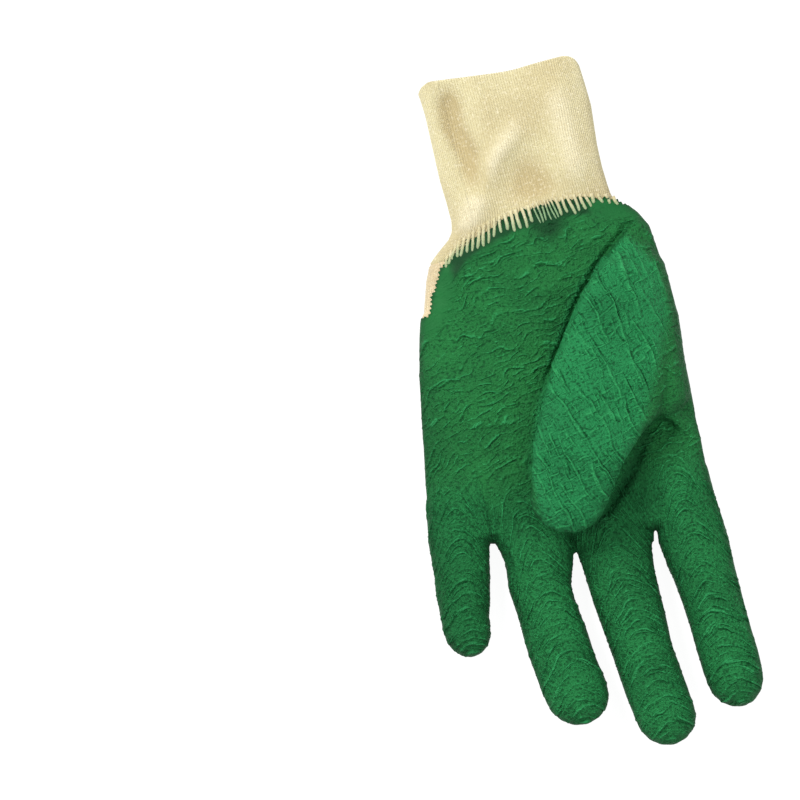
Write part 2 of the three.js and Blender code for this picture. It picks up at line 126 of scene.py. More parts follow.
# How far the fingers' left and right sides move over, at distances from the root, and how far the tips do
SIDE_SHIFTS = [
    [(0, 0, 0), (8, -0.2, 0), (14, -0.8, -0.4), (22, -0.9, -1.3), (31, -0.8, -2.0), (37, -0.2, -2.4),
     (44, 0, -3.4), (52, 0.1, -2.8), (60, 0.3, -2.2)],
    [(18, 0, 0), (26, -0.1, -1.4), (32, -0.4, -3.0), (42, -0.9, -3.2), (49, -1.3, -2.3), (56, -1.5, -1.8),
     (63, -1.2, -1.2), (70, -1.0, 0.1), (80, -1.1, 0.8)],
    [(20, 0, 0), (26, 0.1, -1.3), (34, 0.2, -2.3), (48, 0, -2.2), (63, 0, -2.4), (72, 0, -1.8), (80, 0.3, -1.0),
     (90, 0, 0.4)],
    [(-12, 0, 0), (0, 0, -1.0), (10, 0, -1.5), (22, 0.1, -1.1), (28, 1.0, -0.6), (36, 1.9, -0.4), (47, 2.1, -0.3),
     (63, 1.5, -0.6), (79, 1.1, 0), (88, 1, 0.2)],
]
TIP_SHIFTS = (-1.4, 0.5, 1.4, 0.2)
THUMB_SHIFTS = np.array(
    [(-3, -4.0, 0), (8, -5.0, 0), (19, -5.8, 0), (30, -6.4, 0), (41, -6.0, 0), (50, -6.2, 0), (60, -5.0, -1.2),
     (70, -4.2, -2.2), (86, -2.8, -2.2), (98, -1.8, -2.2), (107, -2.4, -2.2), (112, -2.8, -2.2)],
)
THUMB_NET = 16.0  # how far right of its axis the thumb's net of creases goes
THUMB_LOW_Z = (20.6, 24.0)  # heights between which the shifts come in, just over the palm

rng = np.random.default_rng(7)


def smoothstep(low, high, value):
    share = np.clip((value - low) / (high - low), 0.0, 1.0)
    return share * share * (3 - 2 * share)


def node_arrays(name):
    """A CAD node's points in millimetres, and its triangles."""
    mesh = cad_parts[name].data
    points = np.empty(len(mesh.vertices) * 3, np.float32)
    mesh.vertices.foreach_get("co", points)
    mesh.calc_loop_triangles()
    triangles = np.empty(len(mesh.loop_triangles) * 3, np.int32)
    mesh.loop_triangles.foreach_get("vertices", triangles)
    return points.reshape(-1, 3) / MM, triangles.reshape(-1, 3)


def make_object(name, points, faces):
    """A mesh object from points in millimetres and a list or array of faces."""
    mesh = bpy.data.meshes.new(name)
    mesh.from_pydata((np.asarray(points) * MM).tolist(), [], np.asarray(faces).tolist() if len(faces) else [])
    mesh.validate()
    mesh.update()
    mesh.shade_smooth()
    made = bpy.data.objects.new(name, mesh)
    bpy.context.scene.collection.objects.link(made)
    return made


def mesh_arrays(mesh):
    points = np.empty(len(mesh.vertices) * 3)
    mesh.vertices.foreach_get("co", points)
    return points.reshape(-1, 3) / MM


# Skin of the hand


def flood(seed, passable):
    """Every passable voxel that can be reached from the seed."""
    reached = seed & passable
    count = -1
    while count != reached.sum():
        count = reached.sum()
        for axis in range(3):
            for turned in (False, True):
                r = np.flip(reached, axis) if turned else reached
                p = np.flip(passable, axis) if turned else passable
                shape = [-1 if a == axis else 1 for a in range(3)]
                index = np.arange(r.shape[axis], dtype=np.int16).reshape(shape)
                blocked = np.maximum.accumulate(np.where(p, np.int16(-1), index), axis)
                last = np.maximum.accumulate(np.where(r, index, np.int16(-1)), axis)
                r = r | (p & (last > blocked))
                reached = np.flip(r, axis) if turned else r
    return reached


def grown(mask):
    """A mask with its neighbours."""
    out = mask.copy()
    for axis in range(3):
        out |= np.roll(mask, 1, axis) | np.roll(mask, -1, axis)
    return out


def hand_skin():
    """The outer surface of the coat and the liner, closed over the wrist, as points and four-sided faces."""
    low = np.floor(np.array(cad_bounds[0]) / MM / VOXEL).astype(int) - 5
    high = np.ceil(np.array(cad_bounds[1]) / MM / VOXEL).astype(int) + 5
    transform = openvdb.createLinearTransform(voxelSize=VOXEL)
    field = np.full(tuple(high - low), BAND * VOXEL, np.float32)
    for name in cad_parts:
        points, triangles = node_arrays(name)
        grid = openvdb.FloatGrid.createLevelSetFromPolygons(
            points.astype(np.float32), triangles=triangles.astype(np.uint32), transform=transform, halfWidth=BAND
        )
        own = np.empty_like(field)
        grid.copyToArray(own, ijk=tuple(int(v) for v in low))
        field = np.minimum(field, own)
    y = (np.arange(field.shape[1]) + low[1]) * VOXEL
    field[:, y > SKIN_TOP_Y + 4, :] = np.where(
        field[:, y > SKIN_TOP_Y + 4, :] < BAND * VOXEL, -VOXEL, field[:, y > SKIN_TOP_Y + 4, :]
    )
    seed = np.zeros(field.shape, bool)
    seed[0], seed[-1], seed[:, 0], seed[:, :, 0], seed[:, :, -1] = True, True, True, True, True
    plug = (y > SKIN_TOP_Y + 4) & (y < SKIN_TOP_Y + 7)
    passable = field > 0.45 * VOXEL
    passable[:, plug, :] = False
    seed[:, y > SKIN_TOP_Y + 4, :] = False
    outside = flood(seed, passable)
    outside = grown(outside) & (field > 0) | outside
    filled = np.where(outside, field, np.where(field < 0, field, -VOXEL))
    filled = gaps_cut(filled, low)
    grid = openvdb.FloatGrid(BAND * VOXEL)
    grid.copyFromArray(filled.astype(np.float32), ijk=tuple(int(v) for v in low))
    grid.transform = transform
    points, quads = grid.convertToQuads(0.0)
    points = points.astype(float)
    quads = quads.astype(int)
    keep = points[quads][:, :, 1].max(1) < SKIN_TOP_Y
    return compact(points, quads[keep])


def outline_distance(x, y, outline):
    """Signed distance from a closed outline in the plane, negative inside."""
    corners = np.array(outline, float)
    best = np.full(x.shape, 1e9)
    inside = np.zeros(x.shape, bool)
    for a, b in zip(corners, np.roll(corners, -1, 0)):
        d = b - a
        share = np.clip(((x - a[0]) * d[0] + (y - a[1]) * d[1]) / (d @ d), 0, 1)
        best = np.minimum(best, np.hypot(x - a[0] - share * d[0], y - a[1] - share * d[1]))
        if a[1] != b[1]:
            crosses = (a[1] > y) != (b[1] > y)
            inside ^= crosses & (x < a[0] + d[0] * (y - a[1]) / d[1])
    return np.where(inside, -best, best)


def gaps_cut(field, low):
    """The filled hand's distances with the gaps between the fingers cut as deep as they go."""
    x, y, z = ((np.arange(field.shape[k]) + low[k]) * VOXEL for k in range(3))
    flare = GAP_ROUND - np.sqrt(np.maximum(GAP_ROUND**2 - (z - GAP_CORE) ** 2, 0))
    flare = np.minimum(flare, GAP_FLARE)[z < GAP_TOP]
    for outline in GAPS:
        first, last = (np.array(outline).min(0) - 6, np.array(outline).max(0) + 6)
        spans = [slice(*np.searchsorted(axis, (first[k], last[k]))) for k, axis in enumerate((x, y))]
        away = outline_distance(*np.meshgrid(x[spans[0]], y[spans[1]], indexing="ij"), outline)
        cut = np.clip(flare[None, None] - away[:, :, None], -BAND * VOXEL, BAND * VOXEL)
        part = field[spans[0], spans[1], : len(flare)]
        field[spans[0], spans[1], : len(flare)] = np.maximum(part, cut)
    return field


def compact(points, faces, *more):
    """Only the points that faces use, with each further array cut down in the same way."""
    used, faces_new = np.unique(faces, return_inverse=True)
    return (points[used], faces_new.reshape(faces.shape), *[m[used] for m in more])


def edges_of(faces):
    count = faces.shape[1]
    sides = np.concatenate([np.stack([faces[:, i], faces[:, (i + 1) % count]], 1) for i in range(count)])
    return np.unique(np.sort(sides, 1), axis=0)


def smoothed(points, faces, rounds, shrink=0.5, swell=-0.52):
    """Points relaxed towards their neighbours and back, which takes facets out and keeps the volume."""
    edges = edges_of(faces)
    count = len(points)
    degree = np.bincount(edges.ravel(), minlength=count)[:, None]
    points = points.copy()
    for turn in range(rounds * 2):
        total = np.zeros_like(points)
        for k in range(3):
            total[:, k] = np.bincount(edges[:, 0], points[edges[:, 1], k], count)
            total[:, k] += np.bincount(edges[:, 1], points[edges[:, 0], k], count)
        points += (shrink if turn % 2 == 0 else swell) * (total / degree - points)
    return points


def vertex_normals(points, faces):
    corners = points[faces]
    normal = np.cross(corners[:, 2] - corners[:, 0], corners[:, -1] - corners[:, 1])
    total = np.zeros_like(points)
    for k in range(3):
        for i in range(faces.shape[1]):
            total[:, k] += np.bincount(faces[:, i], normal[:, k], len(points))
    return total / (np.linalg.norm(total, axis=1, keepdims=True) + 1e-12)


# Where on the hand a point lies


def digit_place(points, digit):
    """Distances along and across a digit from its root."""
    turn = math.radians(digit["lean"])
    offset = points[:, :2] - digit["root"]
    along = offset[:, 0] * math.sin(turn) - offset[:, 1] * math.cos(turn)
    across = offset[:, 0] * math.cos(turn) + offset[:, 1] * math.sin(turn)
    return along, across


# How far the fingers' creases bow, for each square millimetre across, at distances from the root
ARC_BOW = np.array([(-10, 0.13), (5, 0.19), (20, 0.16), (40, 0.11), (60, 0.08), (95, 0.06)], float)
BACK_Z = (9.0, 5.0)  # heights between which the palm's side passes to the back


def nearest_finger(points):
    """Each point's place along and across every finger, and which finger is the nearest."""
    places = [digit_place(points, f) for f in FINGERS]
    nearness = np.stack([np.abs(across) / f["width"] for (_, across), f in zip(places, FINGERS)])
    return places, nearness.argmin(0)


def finger_flow(points):
    """Creases' coordinates on the fingers, and how much of a finger each point is."""
    places, which = nearest_finger(points)
    along = np.choose(which, [p[0] for p in places])
    across = np.choose(which, [p[1] for p in places])
    share = smoothstep(-14.0, 4.0, along)
    back = smoothstep(*BACK_Z, points[:, 2])
    bow = np.interp(along, ARC_BOW[:, 0], ARC_BOW[:, 1]) * (1 - 0.75 * back)
    flow = np.stack([bow * across**2 - along, across + which * 40.0, points[:, 2] + 60 * back], 1)
    return flow, share


PALM_SLOPE = 0.17  # the palm's creases rise towards the thumb, and more steeply by the outer edge
PALM_RISE = 0.95
PALM_RISE_REACH = 14.0


def palm_flow(points):
    """Creases' coordinates on the palm."""
    x = points[:, 0]
    rise = PALM_SLOPE * x - PALM_RISE * PALM_RISE_REACH * np.exp(-(x + 64) / PALM_RISE_REACH)
    return np.stack([points[:, 1] - rise, x, points[:, 2]], 1)


THUMB_CREASE = (0.2415, -0.970)  # the direction of the thumb's long creases


def thumb_flow(points):
    """Creases' coordinates on the thumb."""
    dx, dy = THUMB_CREASE
    along = points[:, 0] * dx + points[:, 1] * dy
    across = -points[:, 0] * dy + points[:, 1] * dx
    return np.stack([-across, along, points[:, 2]], 1)


def thumb_share(points):
    along, across = digit_place(points, THUMB)
    left = np.interp(along, THUMB_SPAN[:, 0], THUMB_SPAN[:, 1]) - np.interp(along, *THUMB_SHIFTS[:, :2].T)
    right = np.minimum(np.interp(along, THUMB_SPAN[:, 0], THUMB_SPAN[:, 2]), THUMB_NET)
    inside = smoothstep(-3.0, -0.5, across + left) * smoothstep(-4.0, 3.0, right - across)
    ends = smoothstep(-6.0, 4.0, along) * smoothstep(-5.0, -1.0, THUMB["length"] - along)
    return inside * ends * smoothstep(18.0, 22.5, points[:, 2])


def curve_through(places, steps=12):
    """A smooth line through a few places."""
    p = np.array(places, float)
    padded = np.vstack([2 * p[0] - p[1], p, 2 * p[-1] - p[-2]])
    out = []
    for a, b, c, d in zip(padded, padded[1:], padded[2:], padded[3:]):
        for t in np.arange(steps) / steps:
            square, cube = (2 * a - 5 * b + 4 * c - d) * t**2, (3 * b - a - 3 * c + d) * t**3
            out.append(0.5 * (2 * b + (c - a) * t + square + cube))
    out.append(p[-1])
    return np.array(out)


def line_distance(points, line):
    """Signed distance from a line that runs left to right, positive below it, and the distance along it."""
    start, step = line[:-1], np.diff(line, axis=0)
    length = np.linalg.norm(step, axis=1)
    before = np.concatenate([[0], np.cumsum(length)[:-1]])
    best = np.full(len(points), 1e9)
    signed = np.zeros(len(points))
    along = np.zeros(len(points))
    for a, d, size, run in zip(start, step, length, before):
        offset = points[:, :2] - a
        share = np.clip((offset @ d) / size**2, 0, 1)
        away = offset - share[:, None] * d
        distance = np.linalg.norm(away, axis=1)
        nearer = distance < best
        side = np.where(d[0] * offset[:, 1] - d[1] * offset[:, 0] > 0, -1.0, 1.0)
        best = np.where(nearer, distance, best)
        signed = np.where(nearer, side * distance, signed)
        along = np.where(nearer, run + share * size, along)
    return signed, along


BACK_LINE = curve_through(BACK_EDGE)
PALM_LINE = curve_through(PALM_EDGE)


def coat_depth(points):
    """How far a point lies inside the coat's edge, negative where the glove is bare, and where along it."""
    back, back_run = line_distance(points, BACK_LINE)
    palm, palm_run = line_distance(points, PALM_LINE)
    upper = smoothstep(*SIDE_Z, points[:, 2])
    return back * (1 - upper) + palm * upper, np.where(upper > 0.5, palm_run, back_run)


def bump(value, centre, width):
    """A round hill, 1 at its centre."""
    return np.exp(-(((value - centre) / width) ** 2))


def sculpted(points):
    """The palm's side with the fold along the thumb's ball, the web's hollow and the crease by the thumb."""
    x, y, z = points.T
    above = smoothstep(11.0, 15.0, z)
    away, run = line_distance(points, curve_through(BALL_FOLD))
    reach = smoothstep(46.0, 60.0, run) * smoothstep(78.0, 68.0, run)
    lift = 3.2 * smoothstep(-0.5, 1.1, away) * np.exp(-((np.maximum(away, 0) / 9.0) ** 2))
    dip = 1.7 * bump(away, -1.1, 1.1)
    foot = smoothstep(2.0, 14.0, run) * smoothstep(80.0, 70.0, run)
    z = z + above * (reach * lift - foot * dip)
    away, run = line_distance(points, curve_through(WEB_FOLD))
    reach = smoothstep(0.0, 5.0, run) * smoothstep(22.0, 17.0, run)
    hollow = 2.6 * smoothstep(-0.6, 1.3, away) * np.exp(-((np.maximum(away, 0) / 6.0) ** 2))
    z = z + above * reach * (0.9 * bump(away, -1.8, 2.0) - hollow)
    away, run = line_distance(points, curve_through(THUMB_FOOT))
    reach = smoothstep(0.0, 7.0, run) * smoothstep(37.0, 31.0, run) * smoothstep(25.0, 21.5, points[:, 2])
    z = z - above * reach * 1.9 * bump(away, 0.5, 1.7)
    return np.stack([x, y, z], 1)


def trimmed(points):
    """Points with the fingers' sides and tips, and the palm's outer side, moved to where they belong."""
    places, which = nearest_finger(points)
    low = smoothstep(21.5, 19.5, points[:, 2])
    moved = points.copy()
    for k, ((along, across), finger, shifts) in enumerate(zip(places, FINGERS, SIDE_SHIFTS)):
        shifts = np.array(shifts, float)
        side = np.clip(across / finger["width"] + 0.5, 0, 1)
        left, right = (np.interp(along, shifts[:, 0], shifts[:, c]) for c in (1, 2))
        over = (left * (1 - side) + right * side) * low * (which == k)
        on = TIP_SHIFTS[k] * smoothstep(finger["length"] - 26, finger["length"], along) * (which == k)
        turn = math.radians(finger["lean"])
        moved[:, 0] += over * math.cos(turn) + on * math.sin(turn)
        moved[:, 1] += over * math.sin(turn) - on * math.cos(turn)
    along, across = digit_place(points, THUMB)
    left, right = (np.interp(along, THUMB_SPAN[:, 0], THUMB_SPAN[:, c]) for c in (1, 2))
    side = smoothstep(-left, right, across)
    left_over, right_over = (np.interp(along, THUMB_SHIFTS[:, 0], THUMB_SHIFTS[:, c]) for c in (1, 2))
    over = (left_over * (1 - side) + right_over * side) * smoothstep(*THUMB_LOW_Z, points[:, 2])
    over *= smoothstep(-14.0, 0.0, along)
    moved[:, 0] += over * math.cos(CAMERA_ROLL)
    moved[:, 1] -= over * math.sin(CAMERA_ROLL)
    x, y, _ = points.T
    moved[:, 0] += 0.8 * smoothstep(-46.0, -60.0, x) * smoothstep(36.0, 22.0, y) * smoothstep(-62.0, -52.0, y)
    return moved


def ragged(run):
    """Small teeth where the rubber stops at the knit's stitches."""
    stitch = np.abs((run / 1.6) % 1.0 - 0.5) * 2
    slow = np.sin(run * 0.9) * np.sin(run * 0.37 + 1.3)
    return 0.9 * (stitch - 0.5) + 0.5 * slow


def clipped(points, triangles, value, *more):
    """The part of a triangle mesh where value is positive, cut along the line where it is nought."""
    inside = value[triangles] > 0
    kept = triangles[inside.all(1)]
    mixed = triangles[inside.any(1) & ~inside.all(1)]
    table = {}
    new_points, new_more = [], [[] for _ in more]
    count = len(points)

    def crossing(a, b):
        key = (min(a, b), max(a, b))
        if key not in table:
            t = value[a] / (value[a] - value[b])
            table[key] = count + len(new_points)
            new_points.append(points[a] + (points[b] - points[a]) * t)
            for store, m in zip(new_more, more):
                store.append(m[a] + (m[b] - m[a]) * t)
        return table[key]

    made = []
    for triangle in mixed:
        t = [int(v) for v in triangle]
        signs = [value[v] > 0 for v in t]
        if sum(signs) == 1:
            k = signs.index(True)
            a, b, c = t[k], t[(k + 1) % 3], t[(k + 2) % 3]
            made.append((a, crossing(a, b), crossing(a, c)))
        else:
            k = signs.index(False)
            a, b, c = t[k], t[(k + 1) % 3], t[(k + 2) % 3]
            ab, ca = crossing(a, b), crossing(a, c)
            made += [(ab, b, c), (ab, c, ca)]
    if new_points:
        points = np.vstack([points, new_points])
        more = [np.concatenate([m, np.array(n)]) for m, n in zip(more, new_more)]
    triangles = np.vstack([kept, np.array(made, int).reshape(-1, 3)])
    return compact(points, triangles, *more)


def refined(points, triangles, chosen, *more):
    """Triangles split in four where chosen is true for any corner, and to fit in the ring around them."""
    pick = chosen[triangles].any(1)
    sides = np.sort(np.stack([triangles[:, [0, 1]], triangles[:, [1, 2]], triangles[:, [2, 0]]], 1), 2)
    keys = sides[..., 0].astype(np.int64) * len(points) + sides[..., 1]
    split = np.unique(keys[pick])
    where = np.searchsorted(split, keys)
    where = np.clip(where, 0, len(split) - 1)
    has = split[where] == keys
    a, b = split // len(points), split % len(points)
    middle = len(points) + where
    points_new = np.vstack([points, (points[a] + points[b]) / 2])
    more_new = [np.concatenate([m, (m[a] + m[b]) / 2]) for m in more]
    out = [triangles[~has.any(1)]]
    full = has.all(1)
    t, m = triangles[full], middle[full]
    out += [
        np.stack([t[:, 0], m[:, 0], m[:, 2]], 1),
        np.stack([m[:, 0], t[:, 1], m[:, 1]], 1),
        np.stack([m[:, 2], m[:, 1], t[:, 2]], 1),
        m,
    ]
    for k in range(3):
        i, j = (k + 1) % 3, (k + 2) % 3
        one = has[:, k] & ~has[:, i] & ~has[:, j]
        t, m = triangles[one], middle[one]
        out += [np.stack([t[:, k], m[:, k], t[:, j]], 1), np.stack([m[:, k], t[:, i], t[:, j]], 1)]
        two = has[:, k] & has[:, i] & ~has[:, j]
        t, m = triangles[two], middle[two]
        out += [
            np.stack([t[:, i], m[:, i], m[:, k]], 1),
            np.stack([t[:, k], m[:, k], m[:, i]], 1),
            np.stack([t[:, k], m[:, i], t[:, j]], 1),
        ]
    return (points_new, np.vstack(out), *more_new)


def boundary_loops(triangles):
    """The directed sides of a triangle mesh that only one triangle has."""
    sides = np.concatenate([triangles[:, [0, 1]], triangles[:, [1, 2]], triangles[:, [2, 0]]])
    ordered = np.sort(sides, 1)
    _, index, counts = np.unique(ordered, axis=0, return_index=True, return_counts=True)
    return sides[index[counts == 1]]


def lattice_noise(points, scale, seed):
    """Smooth noise from -1 to 1 with cells of scale millimetres."""
    p = points / scale + seed * 17.3
    cell = np.floor(p).astype(np.int64)
    f = p - cell
    f = f * f * (3 - 2 * f)
    total = np.zeros(len(points))
    for dx in (0, 1):
        for dy in (0, 1):
            for dz in (0, 1):
                h = (cell[:, 0] + dx) * 73856093 ^ (cell[:, 1] + dy) * 19349663 ^ (cell[:, 2] + dz) * 83492791
                h = (h ^ (h >> 13)) * 1274126177 & 0xFFFFFF
                weight = (f[:, 0] if dx else 1 - f[:, 0]) * (f[:, 1] if dy else 1 - f[:, 1])
                weight = weight * (f[:, 2] if dz else 1 - f[:, 2])
                total += weight * (h / 0xFFFFFF * 2 - 1)
    return total


# Node trees


class Nodes:
    """Adds nodes to a shader or a geometry tree. Inputs are sockets or plain values."""

    def __init__(self, tree):
        self.tree = tree

    def add(self, kind, inputs=None, **settings):
        node = self.tree.nodes.new(kind)
        for key, value in settings.items():
            setattr(node, key, value)
        for key, value in (inputs or {}).items():
            if isinstance(value, bpy.types.NodeSocket):
                self.tree.links.new(value, node.inputs[key])
            else:
                node.inputs[key].default_value = value
        return node

    def math(self, operation, a, b=0.0):
        return self.add("ShaderNodeMath", {0: a, 1: b}, operation=operation).outputs[0]

    def vector(self, operation, a, b=(0, 0, 0)):
        return self.add("ShaderNodeVectorMath", {0: a, 1: b}, operation=operation).outputs[0]

    def noise(self, point, scale=1.0, detail=0.0, roughness=0.5, output="Fac"):
        inputs = {"Vector": point, "Scale": scale, "Detail": detail, "Roughness": roughness}
        return self.add("ShaderNodeTexNoise", inputs).outputs[output]

    def steps(self, value, low, high, to_low=0.0, to_high=1.0):
        inputs = {"Value": value, "From Min": low, "From Max": high, "To Min": to_low, "To Max": to_high}
        node = self.add("ShaderNodeMapRange", inputs, interpolation_type="SMOOTHSTEP")
        return node.outputs["Result"]

    def mix(self, share, a, b):
        node = self.add("ShaderNodeMix", {"Factor": share}, data_type="RGBA")
        for key, value in (("A", a), ("B", b)):
            socket = next(s for s in node.inputs if s.name == key and s.type == "RGBA")
            if isinstance(value, bpy.types.NodeSocket):
                self.tree.links.new(value, socket)
            else:
                socket.default_value = (*value, 1.0)
        return next(s for s in node.outputs if s.type == "RGBA")

    def between(self, share, a, b):
        """A plain mix of two numbers."""
        kept = self.math("MULTIPLY", a, self.math("SUBTRACT", 1.0, share))
        return self.math("ADD", kept, self.math("MULTIPLY", b, share))


NOISE_STEP = 0.08  # in cells of noise, for its slope


def creases(n, point, spacing, stretch, width, seed):
    """Thin wavy ridges across point's first axis, about 1 high, each with a groove on its lower side."""
    scale = (1 / spacing, 1 / stretch, 1 / stretch)
    offset = n.vector("ADD", n.vector("MULTIPLY", point, scale), (seed, seed, seed))
    here = n.math("SUBTRACT", n.noise(offset, detail=0.8, roughness=0.4), 0.5)
    beside = n.noise(n.vector("ADD", offset, (NOISE_STEP, 0, 0)), detail=0.8, roughness=0.4)
    slope = n.math("DIVIDE", n.math("SUBTRACT", n.math("SUBTRACT", beside, 0.5), here), NOISE_STEP * spacing)
    steep = n.math("SQRT", n.math("ADD", n.math("MULTIPLY", slope, slope), (0.2 / spacing) ** 2))
    distance = n.math("DIVIDE", here, steep)
    rising = n.steps(slope, 0.06 / spacing, 0.42 / spacing)

    def hill(centre, wide):
        away = n.math("DIVIDE", n.math("SUBTRACT", distance, centre), wide)
        return n.math("EXPONENT", n.math("MULTIPLY", n.math("MULTIPLY", away, away), -1.0))

    top = n.math("MULTIPLY", hill(0.0, width), 0.65)
    crest = n.math("ADD", top, n.math("MULTIPLY", hill(width, width * 2.4), 0.4))
    profile = n.math("SUBTRACT", crest, n.math("MULTIPLY", hill(-1.7 * width, width * 1.1), 0.55))
    return n.math("MULTIPLY", profile, rising)


def wandering(n, place, flow, reach, scale):
    """Flow coordinates that slow noise moves by up to reach millimetres."""
    shift = n.vector("SUBTRACT", n.noise(place, scale, 1.5, output="Color"), (0.5, 0.5, 0.5))
    return n.vector("ADD", flow, n.vector("MULTIPLY", shift, (reach, reach, reach)))


def crossed(n, flow):
    """Flow coordinates with the first two swapped, for creases that run the other way."""
    x, y, z = n.add("ShaderNodeSeparateXYZ", {0: flow}).outputs
    return n.add("ShaderNodeCombineXYZ", {"X": y, "Y": x, "Z": z}).outputs[0]


FLOWS = ("place", "palm_flow", "finger_flow", "thumb_flow", "zones")


def crinkle(n, named, main, fine, grain):
    """The crinkle's height in millimetres, from shares of its long creases, its short ones and its grain.

    A layer is a share, a height, the creases' spacing, length and width in millimetres, and a seed.
    """
    place = named["place"]
    finger, thumb, plain = n.add("ShaderNodeSeparateXYZ", {0: named["zones"]}).outputs

    def layered(flow, *layers):
        total = 0.0
        for share, height, spacing, stretch, width, seed in layers:
            ridge = creases(n, flow, spacing, stretch, width, seed)
            total = n.math("ADD", total, n.math("MULTIPLY", ridge, share * height))
        return total

    palm = wandering(n, place, named["palm_flow"], 11.0, 0.08)
    palm_height = layered(palm, (main, 0.78, 3.0, 9.0, 0.44, 3.1), (fine, 0.42, 1.9, 5.0, 0.36, 9.7))
    arcs = wandering(n, place, named["finger_flow"], 3.2, 0.16)
    arc_height = layered(arcs, (main, 1.15, 2.5, 10.0, 0.62, 5.3), (fine, 0.52, 1.5, 6.5, 0.44, 1.9))
    long = wandering(n, place, named["thumb_flow"], 4.5, 0.08)
    thumb_height = layered(long, (main, 1.45, 2.9, 24.0, 0.52, 7.7), (fine, 0.46, 1.9, 6.0, 0.38, 6.1))
    across = layered(crossed(n, long), (fine, 0.60, 2.1, 6.0, 0.38, 4.2))
    thumb_height = n.math("ADD", thumb_height, across)
    height = n.between(finger, palm_height, arc_height)
    height = n.between(thumb, height, thumb_height)
    strength = n.steps(n.noise(place, 0.13, 1.0), 0.34, 0.58, 0.4, 1.0)
    height = n.math("MULTIPLY", height, strength)
    if grain:
        pebbles = n.add("ShaderNodeTexVoronoi", {"Vector": place, "Scale": 1.05}, feature="SMOOTH_F1")
        pebble = n.math("MULTIPLY", n.math("SUBTRACT", 0.4, pebbles.outputs["Distance"]), 0.50 * grain)
        speck = n.math("MULTIPLY", n.math("SUBTRACT", n.noise(place, 1.3, 2.0, 0.65), 0.5), 0.85 * grain)
        rough = n.math("ADD", n.math("MULTIPLY", finger, 0.25), 1.0)
        height = n.math("ADD", height, n.math("MULTIPLY", n.math("ADD", pebble, speck), rough))
    return n.math("MULTIPLY", height, n.math("SUBTRACT", 1.0, plain))


def crinkle_modifier():
    """A geometry tree that moves points out along their normals by the crinkle's height."""
    tree = bpy.data.node_groups.new("crinkle", "GeometryNodeTree")
    tree.interface.new_socket("Geometry", in_out="INPUT", socket_type="NodeSocketGeometry")
    tree.interface.new_socket("Geometry", in_out="OUTPUT", socket_type="NodeSocketGeometry")
    n = Nodes(tree)
    start = n.add("NodeGroupInput")
    end = n.add("NodeGroupOutput")
    named = {}
    for name in (*FLOWS, "lift"):
        node = n.add("GeometryNodeInputNamedAttribute", data_type="FLOAT_VECTOR")
        node.inputs["Name"].default_value = name
        named[name] = node.outputs["Attribute"]
    outer = n.add("ShaderNodeSeparateXYZ", {0: named["lift"]}).outputs[0]
    height = n.math("MULTIPLY", crinkle(n, named, 0.75, 0.5, 0.0), MM)
    height = n.math("MULTIPLY", height, outer)
    normal = n.add("GeometryNodeInputNormal").outputs[0]
    scaled = n.add("ShaderNodeVectorMath", {0: normal, "Scale": height}, operation="SCALE").outputs[0]
    move = n.add("GeometryNodeSetPosition", {"Geometry": start.outputs[0], "Offset": scaled})
    tree.links.new(move.outputs[0], end.inputs[0])
    return tree


def apply_modifiers(obj):
    graph = bpy.context.evaluated_depsgraph_get()
    made = bpy.data.meshes.new_from_object(obj.evaluated_get(graph))
    obj.modifiers.clear()
    old = obj.data
    obj.data = made
    bpy.data.meshes.remove(old)


def thin_out(obj, weights, ratio):
    """Leaves the object a ratio of its triangles, and takes them where the weights are above nought."""
    group = obj.vertex_groups.new(name="fewer")
    for index in np.flatnonzero(weights > 0).tolist():
        group.add([index], float(weights[index]), "REPLACE")
    modifier = obj.modifiers.new("fewer", "DECIMATE")
    modifier.ratio = ratio
    modifier.vertex_group = group.name
    apply_modifiers(obj)
    obj.vertex_groups.clear()


def mesh_faces(mesh):
    """The corners of a mesh that has only triangles."""
    corner = np.empty(len(mesh.loops), np.int32)
    mesh.loops.foreach_get("vertex_index", corner)
    return corner.reshape(-1, 3)


def get_vectors(mesh, name):
    values = np.empty(len(mesh.vertices) * 3, np.float32)
    mesh.attributes[name].data.foreach_get("vector", values)
    return values.reshape(-1, 3)


def set_vectors(mesh, name, values):
    attribute = mesh.attributes.new(name, "FLOAT_VECTOR", "POINT")
    attribute.data.foreach_set("vector", np.asarray(values, np.float32).ravel())


# Materials


def new_material(name):
    material = bpy.data.materials.new(name)
    material.use_nodes = True
    material.node_tree.nodes.clear()
    return material, Nodes(material.node_tree)


def attribute(n, name):
    return n.add("ShaderNodeAttribute", attribute_name=name).outputs["Vector"]


def finished(material, n, color, roughness, height, **settings):
    """Closes a material with its shader, and a bump from a height in millimetres."""
    metres = n.math("MULTIPLY", height, MM)
    relief = n.add("ShaderNodeBump", {"Height": metres, "Strength": 1.0, "Distance": 1.0})
    inputs = {"Base Color": color, "Roughness": roughness, "Normal": relief.outputs[0], **settings}
    shader = n.add("ShaderNodeBsdfPrincipled", inputs)
    output = n.add("ShaderNodeOutputMaterial")
    material.node_tree.links.new(shader.outputs[0], output.inputs[0])
    return material


GREEN = (0.016, 0.166, 0.040)
# a deep green for random darker patches, and for painted shade in the creases and on tilted faces
GREEN_DEEP = (0.004, 0.055, 0.016)
# lighter green for the crinkle's crests, partly wear and partly a painted highlight
GREEN_CREST_WEAR_AND_HIGHLIGHT = (0.034, 0.330, 0.105)
THUMB_GREEN = (0.018, 0.265, 0.090)
# a dark green for the real stain by the seam, and for painted shade between the fringe's stitches
STAIN_AND_SHADE_GREEN = (0.006, 0.042, 0.014)


